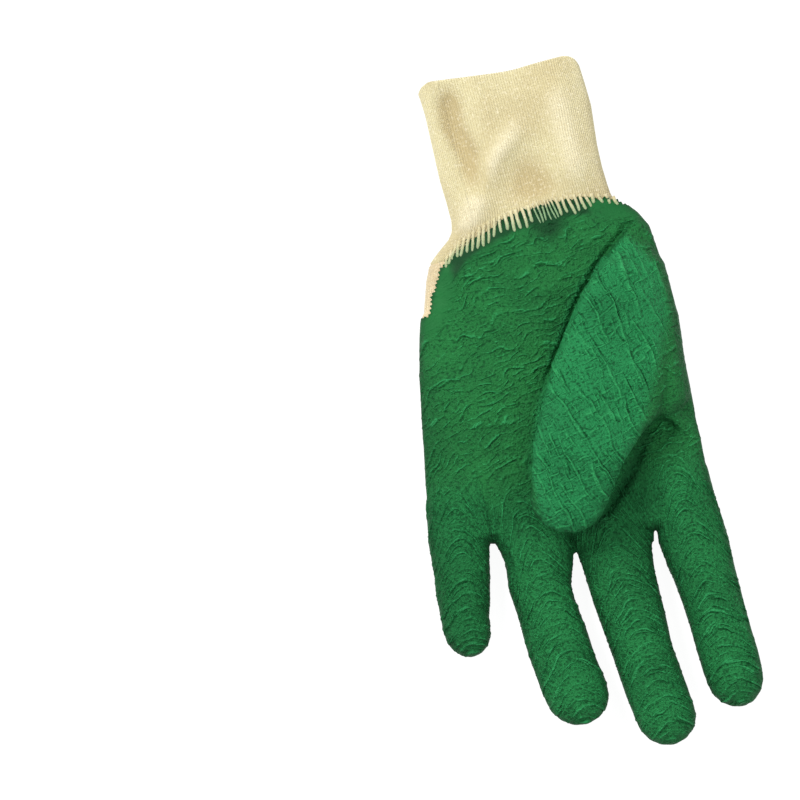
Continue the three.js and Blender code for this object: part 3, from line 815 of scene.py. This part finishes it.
def rubber_material():
    material, n = new_material("rubber")
    named = {name: attribute(n, name) for name in FLOWS}
    place = named["place"]
    height = crinkle(n, named, 0.6, 0.9, 1.0)
    finger, thumb, _ = n.add("ShaderNodeSeparateXYZ", {0: named["zones"]}).outputs
    edge, stain, side = n.add("ShaderNodeSeparateXYZ", {0: attribute(n, "tint_and_painted_light")}).outputs
    teal = n.math("ADD", n.math("MULTIPLY", thumb, 0.6), n.math("MULTIPLY", finger, 0.24))
    base = n.mix(teal, GREEN, THUMB_GREEN)
    patches = n.steps(n.noise(place, 0.045, 3.0, 0.55), 0.35, 0.68)
    base = n.mix(n.math("MULTIPLY", patches, 0.3), base, GREEN_DEEP)
    # Painted shade in the crinkle's grooves. The crests are lighter, partly wear and partly a painted highlight.
    base = n.mix(n.steps(height, -0.02, -0.20, 0.0, 0.68), base, GREEN_DEEP)
    base = n.mix(n.steps(height, 0.08, 0.55, 0.0, 0.68), base, GREEN_CREST_WEAR_AND_HIGHLIGHT)
    # painted shade on tilted faces and beside the thumb, and darker towards the palm's outer side
    base = n.mix(n.math("MULTIPLY", side, 0.6), base, GREEN_DEEP)
    base = n.mix(n.math("MULTIPLY", stain, 0.85), base, STAIN_AND_SHADE_GREEN)
    # painted shade between the fringe's stitches, in the stain's dark green
    base = n.mix(n.math("MULTIPLY", edge, 0.88), base, STAIN_AND_SHADE_GREEN)
    rough = n.steps(n.noise(place, 0.3, 2.0), 0.3, 0.7, 0.58, 0.72)
    return finished(material, n, base, rough, height, **{"Specular IOR Level": 0.12})


CREAM = (0.672, 0.610, 0.365)
# a deeper and a paler cream, for the knit's random flecks and for its painted shade and painted highlight
CREAM_DEEP = (0.470, 0.375, 0.185)
CREAM_PALE = (0.900, 0.830, 0.620)
PEACH = (0.790, 0.640, 0.395)
PALE_GREEN = (0.150, 0.330, 0.150)  # of thread that the rubber has run into


def knit_material(name, base, deep, pale, stitch_bump):
    """Knit whose wales run along the map's V, one to a unit of U, with a stitch to a unit of V."""
    material, n = new_material(name)
    uv = n.add("ShaderNodeUVMap", uv_map="knit").outputs[0]
    u, v, _ = n.add("ShaderNodeSeparateXYZ", {0: uv}).outputs
    across = n.math("ABSOLUTE", n.math("SUBTRACT", n.math("FRACT", u), 0.5))
    slant = n.math("ADD", v, n.math("MULTIPLY", across, 1.1))
    stitch = n.math("SINE", n.math("MULTIPLY", slant, 2 * math.pi))
    centre = n.math("SUBTRACT", 1.0, n.math("POWER", n.math("MULTIPLY", across, 2.0), 2.0))
    place = n.add("ShaderNodeTexCoord").outputs["Object"]
    fibre = n.noise(place, 2600.0, 2.0, 0.65)
    height = n.math("ADD", n.math("MULTIPLY", stitch, stitch_bump), n.math("MULTIPLY", centre, 0.10))
    height = n.math("ADD", height, n.math("MULTIPLY", fibre, 0.17))
    # painted shade in the gaps between the wales
    color = n.mix(n.steps(centre, 0.05, 0.6, 0.55, 0.0), base, deep)
    slow = n.steps(n.noise(place, 45.0, 2.0, 0.5), 0.35, 0.7)
    color = n.mix(n.math("MULTIPLY", slow, 0.42), color, deep)
    hollow, tint, crest = n.add("ShaderNodeSeparateXYZ", {0: attribute(n, "tint_and_painted_light")}).outputs
    # painted shade in the cuff's fold valleys, also darker towards the seam, and a painted highlight on the folds'
    # crests
    color = n.mix(n.steps(hollow, 0.05, 0.8, 0.0, 0.8), color, deep)
    color = n.mix(n.steps(crest, 0.1, 1.0, 0.0, 0.5), color, pale)
    color = n.mix(n.steps(n.noise(place, 900.0, 2.0, 0.6), 0.5, 0.75, 0.0, 0.45), color, pale)
    color = n.mix(n.steps(n.noise(place, 1300.0, 2.0, 0.6), 0.5, 0.3, 0.0, 0.4), color, deep)
    color = n.mix(tint, color, PALE_GREEN)
    return finished(material, n, color, 0.95, height, **{
        "Specular IOR Level": 0.12, "Sheen Weight": 0.35, "Sheen Roughness": 0.5,
    })


# Pieces


def map_knit(obj, coordinates):
    """The knit's map, from a pair of numbers for each point."""
    layer = obj.data.uv_layers.new(name="knit")
    corner = np.empty(len(obj.data.loops), np.int32)
    obj.data.loops.foreach_get("vertex_index", corner)
    layer.data.foreach_set("uv", np.asarray(coordinates, np.float32)[corner].ravel())


def walled(points, triangles, normals, thickness, *more):
    """A skin with an inner side and a rim, from its outer side. Its first points are the outer side's."""
    rim = boundary_loops(triangles)
    inner = points - normals * thickness[:, None]
    count = len(points)
    strip = np.vstack([
        np.stack([rim[:, 1], rim[:, 0], rim[:, 0] + count], 1),
        np.stack([rim[:, 1], rim[:, 0] + count, rim[:, 1] + count], 1),
    ])
    faces = np.vstack([triangles, triangles[:, ::-1] + count, strip])
    return (np.vstack([points, inner]), faces, *[np.concatenate([m, m]) for m in more])


def triangulated(quads):
    return np.vstack([quads[:, [0, 1, 2]], quads[:, [0, 2, 3]]])


def coat_and_liner():
    points, quads = hand_skin()
    points = smoothed(points, quads, SMOOTH_ROUNDS)
    triangles = triangulated(quads)
    normals = vertex_normals(points, triangles)
    if (normals[:, 2] * (points[:, 2] - 10)).sum() < 0:
        triangles = triangles[:, ::-1]
        normals = -normals
    soft = 0.45 * lattice_noise(points, 24.0, 1) + 0.25 * lattice_noise(points, 10.0, 2)
    lifted = smoothstep(0.3, 6.0, points[:, 2])
    points = points + normals * (soft * lifted)[:, None]
    points[:, 2] = np.maximum(points[:, 2], 0.0)
    points = sculpted(trimmed(points))
    depth, _ = coat_depth(points)
    points, triangles = refined(points, triangles, np.abs(depth) < EDGE_BAND)
    depth, run = coat_depth(points)
    edge = depth + ragged(run)
    coat = make_coat(*clipped(points, triangles, edge, depth))
    liner = make_liner(*clipped(points, triangles, LINER_OVERLAP - depth, depth))
    return coat, liner


COAT_LIMIT = 186000  # triangles in the coat, in its inner side and in its back
LINING_LIMIT = 22000
UNDER_LIMIT = 34000
FRINGE_DEPTH = 7.0  # how far the painted shade between the stitches reaches in from the coat's edge
EDGE_WALL = 0.35  # the coat's thickness at its edge
BACKING = 1.2  # and how much thicker it is 8 mm further in


def make_coat(points, triangles, depth):
    """The rubber with its crinkle, its thin edge and its thicker inner side, as one closed skin."""
    normals = vertex_normals(points, triangles)
    flow, finger = finger_flow(points)
    thumb = thumb_share(points)
    z = points[:, 2]
    on_back = smoothstep(6.0, 2.0, z)
    plain = smoothstep(9.5, 4.0, depth) * 0.75
    plain = np.maximum(plain, on_back * smoothstep(24.0, 15.0, depth))
    x, y = points[:, 0], points[:, 1]
    stain = np.minimum(1.35 * np.exp(-((x - 4.2) ** 2 / 38 + (y - 64.5) ** 2 / 46)), 1.0) * (z > 10)
    under_fringe = smoothstep(-36.0, -33.0, x) * smoothstep(22.0, 19.0, x) * (z > 9)
    # Painted shade on the rubber between the fringe's stitches, up to FRINGE_DEPTH in from the coat's edge. The last
    # millimetre or so at the cut edge is darker as well.
    edge = smoothstep(FRINGE_DEPTH, FRINGE_DEPTH - 1.6, depth) * under_fringe
    edge = np.maximum(edge, smoothstep(1.4, 0.2, depth) * 0.6)
    # Painted shade on faces that turn away from the top, less on the thumb. The mask is also darker towards the
    # palm's outer side and in a band just inside the coat's edge on the palm.
    side = smoothstep(0.92, 0.25, normals[:, 2]) * (1 - 0.7 * thumb)
    outer_palm = smoothstep(-40.0, -64.0, x) * (normals[:, 2] > 0)
    side += 0.5 * outer_palm + 0.35 * smoothstep(12.0, 5.0, depth) * (z > 9)
    # a painted shadow in the crease along the thumb's right side
    away, _ = line_distance(points, curve_through(THUMB_FOOT))
    side += 1.2 * bump(away, 0.6, 2.8) * smoothstep(24.0, 20.0, z) * (z > 9)
    side = np.minimum(side, 1.0)
    count = len(points)
    thick = EDGE_WALL + BACKING * smoothstep(0.0, 8.0, depth)
    obj = make_object("rubber_coat_skin", *walled(points, triangles, normals, thick))
    flows = {
        "place": points,
        "palm_flow": palm_flow(points),
        "finger_flow": flow,
        "thumb_flow": thumb_flow(points),
        "zones": np.stack([finger * (1 - thumb), thumb, plain], 1),
        "tint_and_painted_light": np.stack([edge, stain, side], 1),
    }
    for name, values in flows.items():
        set_vectors(obj.data, name, np.vstack([values, values]))
    rim_mask = np.zeros(count, bool)
    rim_mask[boundary_loops(triangles).ravel()] = True
    facing = 0.3 + 0.7 * smoothstep(0.1, 0.65, np.abs(normals[:, 2]))
    sheet = np.concatenate([np.where(rim_mask, 0.25, 1.0), np.zeros(count)])
    inner_free = np.concatenate([np.zeros(count), np.where(rim_mask, 0.0, 1.0)])
    under = np.concatenate([np.where(rim_mask, 0.0, (normals[:, 2] < -0.15) & (z < 9)), np.zeros(count)])
    set_vectors(obj.data, "sheet", np.stack([sheet, inner_free, under], 1))
    lift = sheet * np.concatenate([facing, facing])
    set_vectors(obj.data, "lift", np.stack([lift, 0 * lift, 0 * lift], 1))
    obj.modifiers.new("crinkle", "NODES").node_group = crinkle_modifier()
    apply_modifiers(obj)
    total = len(obj.data.polygons)
    thin_out(obj, inner_free, (total - len(triangles) + LINING_LIMIT) / total)
    sheet = get_vectors(obj.data, "sheet")
    under = sheet[:, 2] > 0.75
    faces = mesh_faces(obj.data)
    under_count = under[faces].all(1).sum()
    thin_out(obj, under.astype(float), (len(faces) - under_count + UNDER_LIMIT) / len(faces))
    sheet = get_vectors(obj.data, "sheet")
    free = (sheet[:, 0] > 0.75) & (sheet[:, 2] < 0.25)
    thin_out(obj, free.astype(float), COAT_LIMIT / len(obj.data.polygons))
    moved = mesh_arrays(obj.data)
    moved[:, 2] = np.maximum(moved[:, 2], 0.0)
    obj.data.vertices.foreach_set("co", (moved * MM).ravel())
    obj.data.update()
    obj.data.shade_smooth()
    obj.data.materials.append(rubber_material())
    return obj


LINER_WALL = 1.0
LINER_WALE = 1.15
LINER_COURSE = 0.95
ROUND_X, ROUND_Z, ROUND_RADIUS = -38.0, 8.0, 10.0  # the line that the knit turns about at the outer side


def make_liner(points, triangles, depth):
    normals = vertex_normals(points, triangles)
    sunk = COAT_STEP + 0.25 * smoothstep(0.5, 3.0, depth)
    keep = points[triangles][:, :, 1].max(1) < SEAM_Y + 0.4
    outer = points - normals * sunk[:, None]
    outer[:, 2] = np.maximum(outer[:, 2], 0.02)
    outer, triangles, normals = compact(outer, triangles[keep], normals)
    outer, faces = walled(outer, triangles, normals, np.full(len(outer), LINER_WALL))
    liner = make_object("cotton_liner_skin", outer, faces)
    turn = np.arctan2(ROUND_X - outer[:, 0], ROUND_Z - outer[:, 2])
    across = np.where(outer[:, 0] < ROUND_X, ROUND_X - ROUND_RADIUS * turn, outer[:, 0])
    map_knit(liner, np.stack([across / LINER_WALE, outer[:, 1] / LINER_COURSE], 1))
    liner.data.materials.append(knit_material("liner_knit", PEACH, CREAM_DEEP, CREAM_PALE, 0.10))
    return liner


RIBS = 148
RIB_POINTS = 5
CUFF_ROW = 1.0
RIB_HEIGHT = 0.20
CUFF_CORE_Z = 8.3
CUFF_CORE_RADIUS = 8.0
CUFF_RAYS = 159  # round the cuff, to find its outline
CUFF_WALL = 1.7
ROLL = 0.85  # half the thickness of the mouth's rolled edge
STITCH_LENGTH = 1.05

# The cuff's sides at heights along the glove, and its mouth's edge across it
CUFF_SIDES = np.array(  # along, left, right
    [(60.0, -41.6, 34.6), (62.0, -39.4, 33.2), (64.8, -35.8, 31.4), (67.0, -32.8, 30.2), (69.6, -30.8, 29.5),
     (73.4, -30.0, 29.2), (80.0, -30.1, 28.9), (88.7, -30.5, 29.1), (104.4, -30.2, 30.5), (113.0, -30.0, 30.2),
     (119.0, -30.3, 29.9), (125.0, -31.0, 29.6)],
)
CUFF_MOUTH = np.array(
    [(-30.9, 121.4), (-30.2, 123.3), (-28.2, 124.8), (-24.0, 125.4), (-8.7, 123.6), (3.7, 122.4),
     (13.2, 122.7), (22.7, 122.9), (26.6, 122.5), (28.8, 121.1), (29.8, 119.0)],
)


def cuff_ring(tree, y, count):
    """The cuff's outline at one height above the seam, as points and outward directions."""
    starts = ((-1, Vector((-90.0, y, CUFF_CORE_Z))), (1, Vector((90.0, y, CUFF_CORE_Z))))
    left, right = (tree.ray_cast(start, Vector((-sign, 0, 0)))[0].x for sign, start in starts)
    radius = CUFF_CORE_RADIUS
    core = (left + radius, right - radius)
    straight = core[1] - core[0]
    bend = math.pi * radius
    total = 2 * (straight + bend)
    points, outs = [], []
    for i in range(count):
        s = total * i / count
        if s < straight:
            centre, out = (core[0] + s, CUFF_CORE_Z), (0.0, 1.0)
        elif s < straight + bend:
            a = (s - straight) / radius
            centre, out = (core[1], CUFF_CORE_Z), (math.sin(a), math.cos(a))
        elif s < 2 * straight + bend:
            centre, out = (core[1] - (s - straight - bend), CUFF_CORE_Z), (0.0, -1.0)
        else:
            a = (s - 2 * straight - bend) / radius
            centre, out = (core[0], CUFF_CORE_Z), (-math.sin(a), -math.cos(a))
        origin = Vector((centre[0] + out[0] * 40, y, centre[1] + out[1] * 40))
        hit = tree.ray_cast(origin, Vector((-out[0], 0, -out[1])))
        place = hit[0] if hit[0] else Vector((centre[0], y, centre[1]))
        points.append((place.x, place.y, place.z))
        outs.append((out[0], 0.0, out[1]))
    return np.array(points), np.array(outs)


def ring_smoothed(rings, along, around):
    """Rings blurred along the cuff and around it."""
    out = rings.copy()
    for _ in range(around):
        out = (np.roll(out, 1, 1) + 2 * out + np.roll(out, -1, 1)) / 4
    for _ in range(along):
        inner = out.copy()
        inner[1:-1] = (out[:-2] + 2 * out[1:-1] + out[2:]) / 4
        out = inner
    return out


def cuff_folds(rings):
    """How far the palm's side of the cuff stands out in soft folds."""
    x, y, _ = np.moveaxis(rings, 2, 0)
    valley_x = np.interp(y, [76.0, 84.0, 96.0, 107.0, 120.0], [-15.0, -17.6, -17.8, -21.2, -20.3])
    valley = bump(x, valley_x, 4.6) * smoothstep(76.0, 86.0, y) * smoothstep(126.0, 114.0, y)
    ridge_x = np.interp(y, [70.0, 80.0, 90.0, 98.0, 106.0], [-24.5, -18.5, -11.3, -2.5, 3.0])
    ridge = bump(x, ridge_x, 6.5) * smoothstep(64.0, 72.0, y) * smoothstep(112.0, 94.0, y)
    hollow = bump(x, 2.0, 8.5) * bump(y, 81.0, 10.0) * smoothstep(69.0, 78.0, y)
    swell = bump(x, 18.5, 6.0) * smoothstep(70.0, 84.0, y) * smoothstep(122.0, 104.0, y)
    rim = smoothstep(111.0, 117.0, y) * smoothstep(125.0, 119.0, y) * smoothstep(-14.0, -4.0, x)
    return 2.1 * ridge + 1.6 * swell - 2.9 * valley - 2.3 * hollow - 0.6 * rim


def make_cuff():
    """The cuff's points, faces, knit map and tones, with painted shade in its folds' valleys and a painted highlight
    on their crests, from rings up its outside and down its inside.
    """
    points, triangles = node_arrays("knit_cuff")
    tree = BVHTree.FromPolygons([Vector(p) for p in points.tolist()], triangles.tolist())
    around = RIBS * RIB_POINTS
    rows = np.arange(SEAM_Y + 0.1, CUFF_TOP_Y - 0.7, CUFF_ROW)
    rings, outs = zip(*[cuff_ring(tree, y, CUFF_RAYS) for y in rows])
    rings, outs = np.array(rings), np.array(outs)
    rings = ring_smoothed(rings, 2, 2)
    at = np.arange(around) / around * CUFF_RAYS
    low = np.floor(at).astype(int)
    share = (at - low)[None, :, None]

    def spread(values):
        return values[:, low % CUFF_RAYS] * (1 - share) + values[:, (low + 1) % CUFF_RAYS] * share

    rings, outs = ring_smoothed(spread(rings), 1, 6), spread(outs)
    outs /= np.linalg.norm(outs, axis=2, keepdims=True)
    up = (rows - rows[0]) / (rows[-1] - rows[0])
    left, right = rings[:, :, 0].min(1), rings[:, :, 0].max(1)
    side = (rings[:, :, 0] - left[:, None]) / (right - left)[:, None]
    height_y = rings[:, :, 1].copy()
    for column, near, have in ((1, 1 - side, left), (2, side, right)):
        want = np.interp(rows, CUFF_SIDES[:, 0], CUFF_SIDES[:, column])
        rings[:, :, 0] += near * (want - have)[:, None]
    mouth = np.interp(rings[-1, :, 0], *curve_through(CUFF_MOUTH).T) - 0.9
    rings[:, :, 1] = height_y + (up**2)[:, None] * (mouth - height_y[-1])[None]
    upper = smoothstep(0.2, 0.8, outs[:, :, 2])
    fold = cuff_folds(rings) * upper
    rings[:, :, 2] += fold
    wobble = lattice_noise(rings.reshape(-1, 3), 9.0, 5).reshape(rings.shape[:2])
    phase = np.arange(around) / RIB_POINTS
    own = rng.uniform(0.6, 1.15, RIBS)[np.floor(phase).astype(int)]
    rib = np.abs(np.cos(math.pi * phase))[None, :] ** 1.3
    height = RIB_HEIGHT * (rib - 0.7) * (1 + 0.35 * wobble) * own[None, :]
    lift = smoothstep(0.5, 2.5, rings[:, :, 2])
    outer = rings + outs * (height * np.maximum(lift, 0.15))[:, :, None]
    top = outer[-1]
    start = rings[0] - outs[0] * 0.5
    start[:, 1] -= 1.0
    rolls = []
    for angle in np.linspace(0.25, math.pi, 7):
        ring = top - outs[-1] * (1 - math.cos(angle)) * ROLL
        ring[:, 1] = top[:, 1] + math.sin(angle) * 0.9 + 0.12 * np.sin(phase * 2 * math.pi)
        rolls.append(ring)
    inner = [rings[row] - outs[row] * CUFF_WALL for row in range(len(rings) - 1, -1, -4)]
    last = start - outs[0] * 1.0
    everything = np.array([start, *outer, *rolls, *inner, last])
    everything[:, :, 2] = np.maximum(everything[:, :, 2], 0.0)
    count = len(everything)
    index = np.arange(count * around).reshape(count, around)
    b = np.roll(index, -1, 0)
    quads = np.stack([index, np.roll(index, -1, 1), np.roll(b, -1, 1), b], -1).reshape(-1, 4)
    along = everything[:, :, 1] / STITCH_LENGTH
    uv = np.stack([np.broadcast_to(phase[None, :] + 0.5, along.shape), along], -1).reshape(-1, 2)
    # Painted shade in the folds' valleys, and darker towards the seam. A painted highlight on the folds' crests.
    hollow = np.clip(-fold, 0, None) + 0.9 * smoothstep(88.0, 68.0, rings[:, :, 1])
    tones = np.stack([hollow / 3.0, 0 * fold, np.clip(fold, 0, None) / 2.4], -1)
    tones = np.concatenate([tones[:1], tones, np.repeat(tones[-1:], count - 1 - len(tones), 0)])
    return everything.reshape(-1, 3), quads, uv, tones.reshape(-1, 3)


STITCH_PITCH = 2.25
STITCH_RADIUS = 0.60
STITCH_SIDES = 8
# How far along a stitch its rings stand, and how wide they are: a bar with a round end
STITCH_RINGS = [(0, 1.0), (0.2, 1.05), (0.4, 1.0), (0.6, 1.02), (0.78, 1.0), (0.88, 0.97), (0.94, 0.84),
                (0.98, 0.56), (1.0, 0.22)]
# Where across the palm the stitches stand, how long they are, and their lean towards the thumb in degrees
STITCHES = np.array(
    [(-35.0, 3.2, -14), (-29.0, 5.4, -12), (-24.0, 6.3, -6), (-17.0, 6.2, 0), (-13.0, 5.8, 6), (-10.0, 5.8, 12),
     (-5.0, 6.2, 18), (3.0, 6.0, 21), (13.0, 6.0, 25), (19.5, 5.6, 24), (22.0, 2.6, 24), (34.0, 2.4, 28)],
    float,
)
FAINT = (0.0, 9.0)  # stitches here are stained and thin
STITCH_SPAN = (-35.0, 31.0)
STITCH_ROOT = 1.6  # how far a stitch starts inside the cuff


def stitches(tree):
    """The seam's thread where it stands in the rubber along the palm's edge."""
    down = np.array([-math.sin(CAMERA_ROLL), -math.cos(CAMERA_ROLL)])
    across = np.array([math.cos(CAMERA_ROLL), -math.sin(CAMERA_ROLL)])
    length = np.concatenate([[0], np.cumsum(np.linalg.norm(np.diff(PALM_LINE, axis=0), axis=1))])
    first, last = np.interp(STITCH_SPAN, PALM_LINE[:, 0], length)
    points, faces, uv, tint = [], [], [], []
    run = first
    while run < last:
        base = np.array([np.interp(run, length, PALM_LINE[:, k]) for k in (0, 1)])
        reach, lean = (np.interp(base[0], STITCHES[:, 0], STITCHES[:, k]) for k in (1, 2))
        reach *= rng.uniform(0.82, 1.12)
        lean = math.radians(lean + rng.uniform(-2.5, 2.5))
        wide = STITCH_RADIUS * rng.uniform(0.85, 1.12)
        thin = FAINT[0] < base[0] < FAINT[1]
        step = STITCH_PITCH * rng.uniform(0.92, 1.08) * (0.62 if thin else 1.0)
        step *= 1.3 if base[0] > 21.0 else 1.0
        wide *= 0.55 if thin else 1.0
        way = down * math.cos(lean) + across * math.sin(lean)
        side = np.array([-way[1], way[0]])
        start = len(points)
        for t, size in STITCH_RINGS:
            bow = 0.18 * math.sin(4 * t + run)
            centre = base + way * (-STITCH_ROOT + (reach + STITCH_ROOT) * t) + side * bow
            hit = tree.ray_cast(Vector((*centre, 70.0)), Vector((0, 0, -1)))[0]
            z = hit.z if hit else 12.0
            size *= wide
            lift = 0.12 + 0.28 * math.sin(math.pi * min(t + 0.12, 1.0))
            for j in range(STITCH_SIDES):
                a = 2 * math.pi * j / STITCH_SIDES
                spot = centre + side * math.cos(a) * size
                points.append((spot[0], spot[1], z + lift - 0.15 + 0.62 * size * math.sin(a)))
                uv.append((0.5 + 0.4 * math.cos(a), t * (reach + STITCH_ROOT) / STITCH_LENGTH))
                tint.append(0.85 if thin and t > 0.3 else 0.62 * float(smoothstep(0.1, 0.9, t)))
        for k in range(len(STITCH_RINGS) - 1):
            for j in range(STITCH_SIDES):
                ring = start + k * STITCH_SIDES
                a, b = ring + j, ring + (j + 1) % STITCH_SIDES
                faces.append((a, b, b + STITCH_SIDES, a + STITCH_SIDES))
        for ring, turn in ((0, -1), (len(STITCH_RINGS) - 1, 1)):
            corner = [start + ring * STITCH_SIDES + j for j in range(STITCH_SIDES)][::turn]
            faces += [(corner[0], corner[2 * j - 1], corner[2 * j], corner[2 * j + 1]) for j in range(1, 4)]
        run += step
    return np.array(points), np.array(faces), np.array(uv), np.array(tint)


def cuff_with_stitches(coat):
    """The cuff, with the seam's stitches laid on the cuff and the coat."""
    ring_points, quads, uv, tones = make_cuff()
    coat_points = mesh_arrays(coat.data)
    faces = [list(p.vertices) for p in coat.data.polygons]
    near = (coat_points[:, 1] > 45) & (coat_points[:, 2] > 8)
    faces = [f for f in faces if near[f[0]]]
    every = np.vstack([coat_points, ring_points])
    faces += (quads + len(coat_points)).tolist()
    tree = BVHTree.FromPolygons([Vector(p) for p in every.tolist()], faces)
    thread, thread_faces, thread_uv, tint = stitches(tree)
    points = np.vstack([ring_points, thread])
    cuff = make_object("knit_cuff_skin", points, np.vstack([quads, thread_faces + len(ring_points)]))
    map_knit(cuff, np.vstack([uv, thread_uv]))
    set_vectors(cuff.data, "tint_and_painted_light", np.vstack([tones, np.stack([0 * tint, tint, 0 * tint], 1)]))
    cuff.data.materials.append(knit_material("cuff_knit", CREAM, CREAM_DEEP, CREAM_PALE, 0.035))
    return cuff


# Stage


FLOOR = 3.0  # metres from its middle to its edge


def floor():
    """A pale floor that gives off some light, so that it stays as pale as the photograph's ground."""
    mesh = bpy.data.meshes.new("floor")
    corners = [(-FLOOR, -FLOOR, 0), (FLOOR, -FLOOR, 0), (FLOOR, FLOOR, 0), (-FLOOR, FLOOR, 0)]
    mesh.from_pydata(corners, [], [(0, 1, 2, 3)])
    made = bpy.data.objects.new("floor", mesh)
    bpy.context.scene.collection.objects.link(made)
    made.location.z = -0.0002
    material, n = new_material("floor")
    glow = {"Emission Color": (1, 1, 1, 1), "Emission Strength": 0.94}
    inputs = {"Base Color": (0.15, 0.15, 0.15, 1), "Roughness": 0.9, **glow}
    shader = n.add("ShaderNodeBsdfPrincipled", inputs)
    output = n.add("ShaderNodeOutputMaterial")
    material.node_tree.links.new(shader.outputs[0], output.inputs[0])
    mesh.materials.append(material)


def light(name, place, target, size, power):
    data = bpy.data.lights.new(name, "AREA")
    data.shape = "DISK"
    data.size = size
    data.energy = power
    made = bpy.data.objects.new(name, data)
    made.location = place
    made.rotation_euler = (Vector(target) - Vector(place)).to_track_quat("-Z", "Y").to_euler()
    bpy.context.scene.collection.objects.link(made)


def lights():
    light("key", (-0.6, 0.9, 1.15), (0, 0, 0), 0.5, 21.0)
    light("fill", (0.9, -0.3, 1.3), (0, 0, 0), 1.4, 9.0)
    world = bpy.data.worlds.new("studio")
    world.use_nodes = True
    world.node_tree.nodes["Background"].inputs[0].default_value = (1, 1, 1, 1)
    world.node_tree.nodes["Background"].inputs[1].default_value = 0.5
    bpy.context.scene.world = world


def camera():
    dx = (PHOTO_SIDE / 2 - HAND_PIXEL[0]) * MM_PER_PIXEL
    dy = (HAND_PIXEL[1] - PHOTO_SIDE / 2) * MM_PER_PIXEL
    x = HAND_POINT[0] + dx * math.cos(CAMERA_ROLL) + dy * math.sin(CAMERA_ROLL)
    y = HAND_POINT[1] - dx * math.sin(CAMERA_ROLL) + dy * math.cos(CAMERA_ROLL)
    distance = PHOTO_SIDE * MM_PER_PIXEL / CAMERA_SENSOR * CAMERA_LENS + FOCUS_HEIGHT
    data = bpy.data.cameras.new("camera")
    data.lens = CAMERA_LENS
    data.sensor_width = CAMERA_SENSOR
    data.clip_end = 100
    made = bpy.data.objects.new("camera", data)
    place = Matrix.Translation(Vector((x, y, distance)) * MM)
    made.matrix_world = place @ Matrix.Rotation(-CAMERA_ROLL, 4, "Z")
    bpy.context.scene.collection.objects.link(made)
    bpy.context.scene.camera = made


camera()
lights()
floor()
coat, liner = coat_and_liner()
cuff = cuff_with_stitches(coat)
for piece, node in ((coat, "rubber_coat"), (liner, "cotton_liner"), (cuff, "knit_cuff")):
    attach(piece, "root")
    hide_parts(node)
bpy.context.scene.view_settings.view_transform = "Standard"
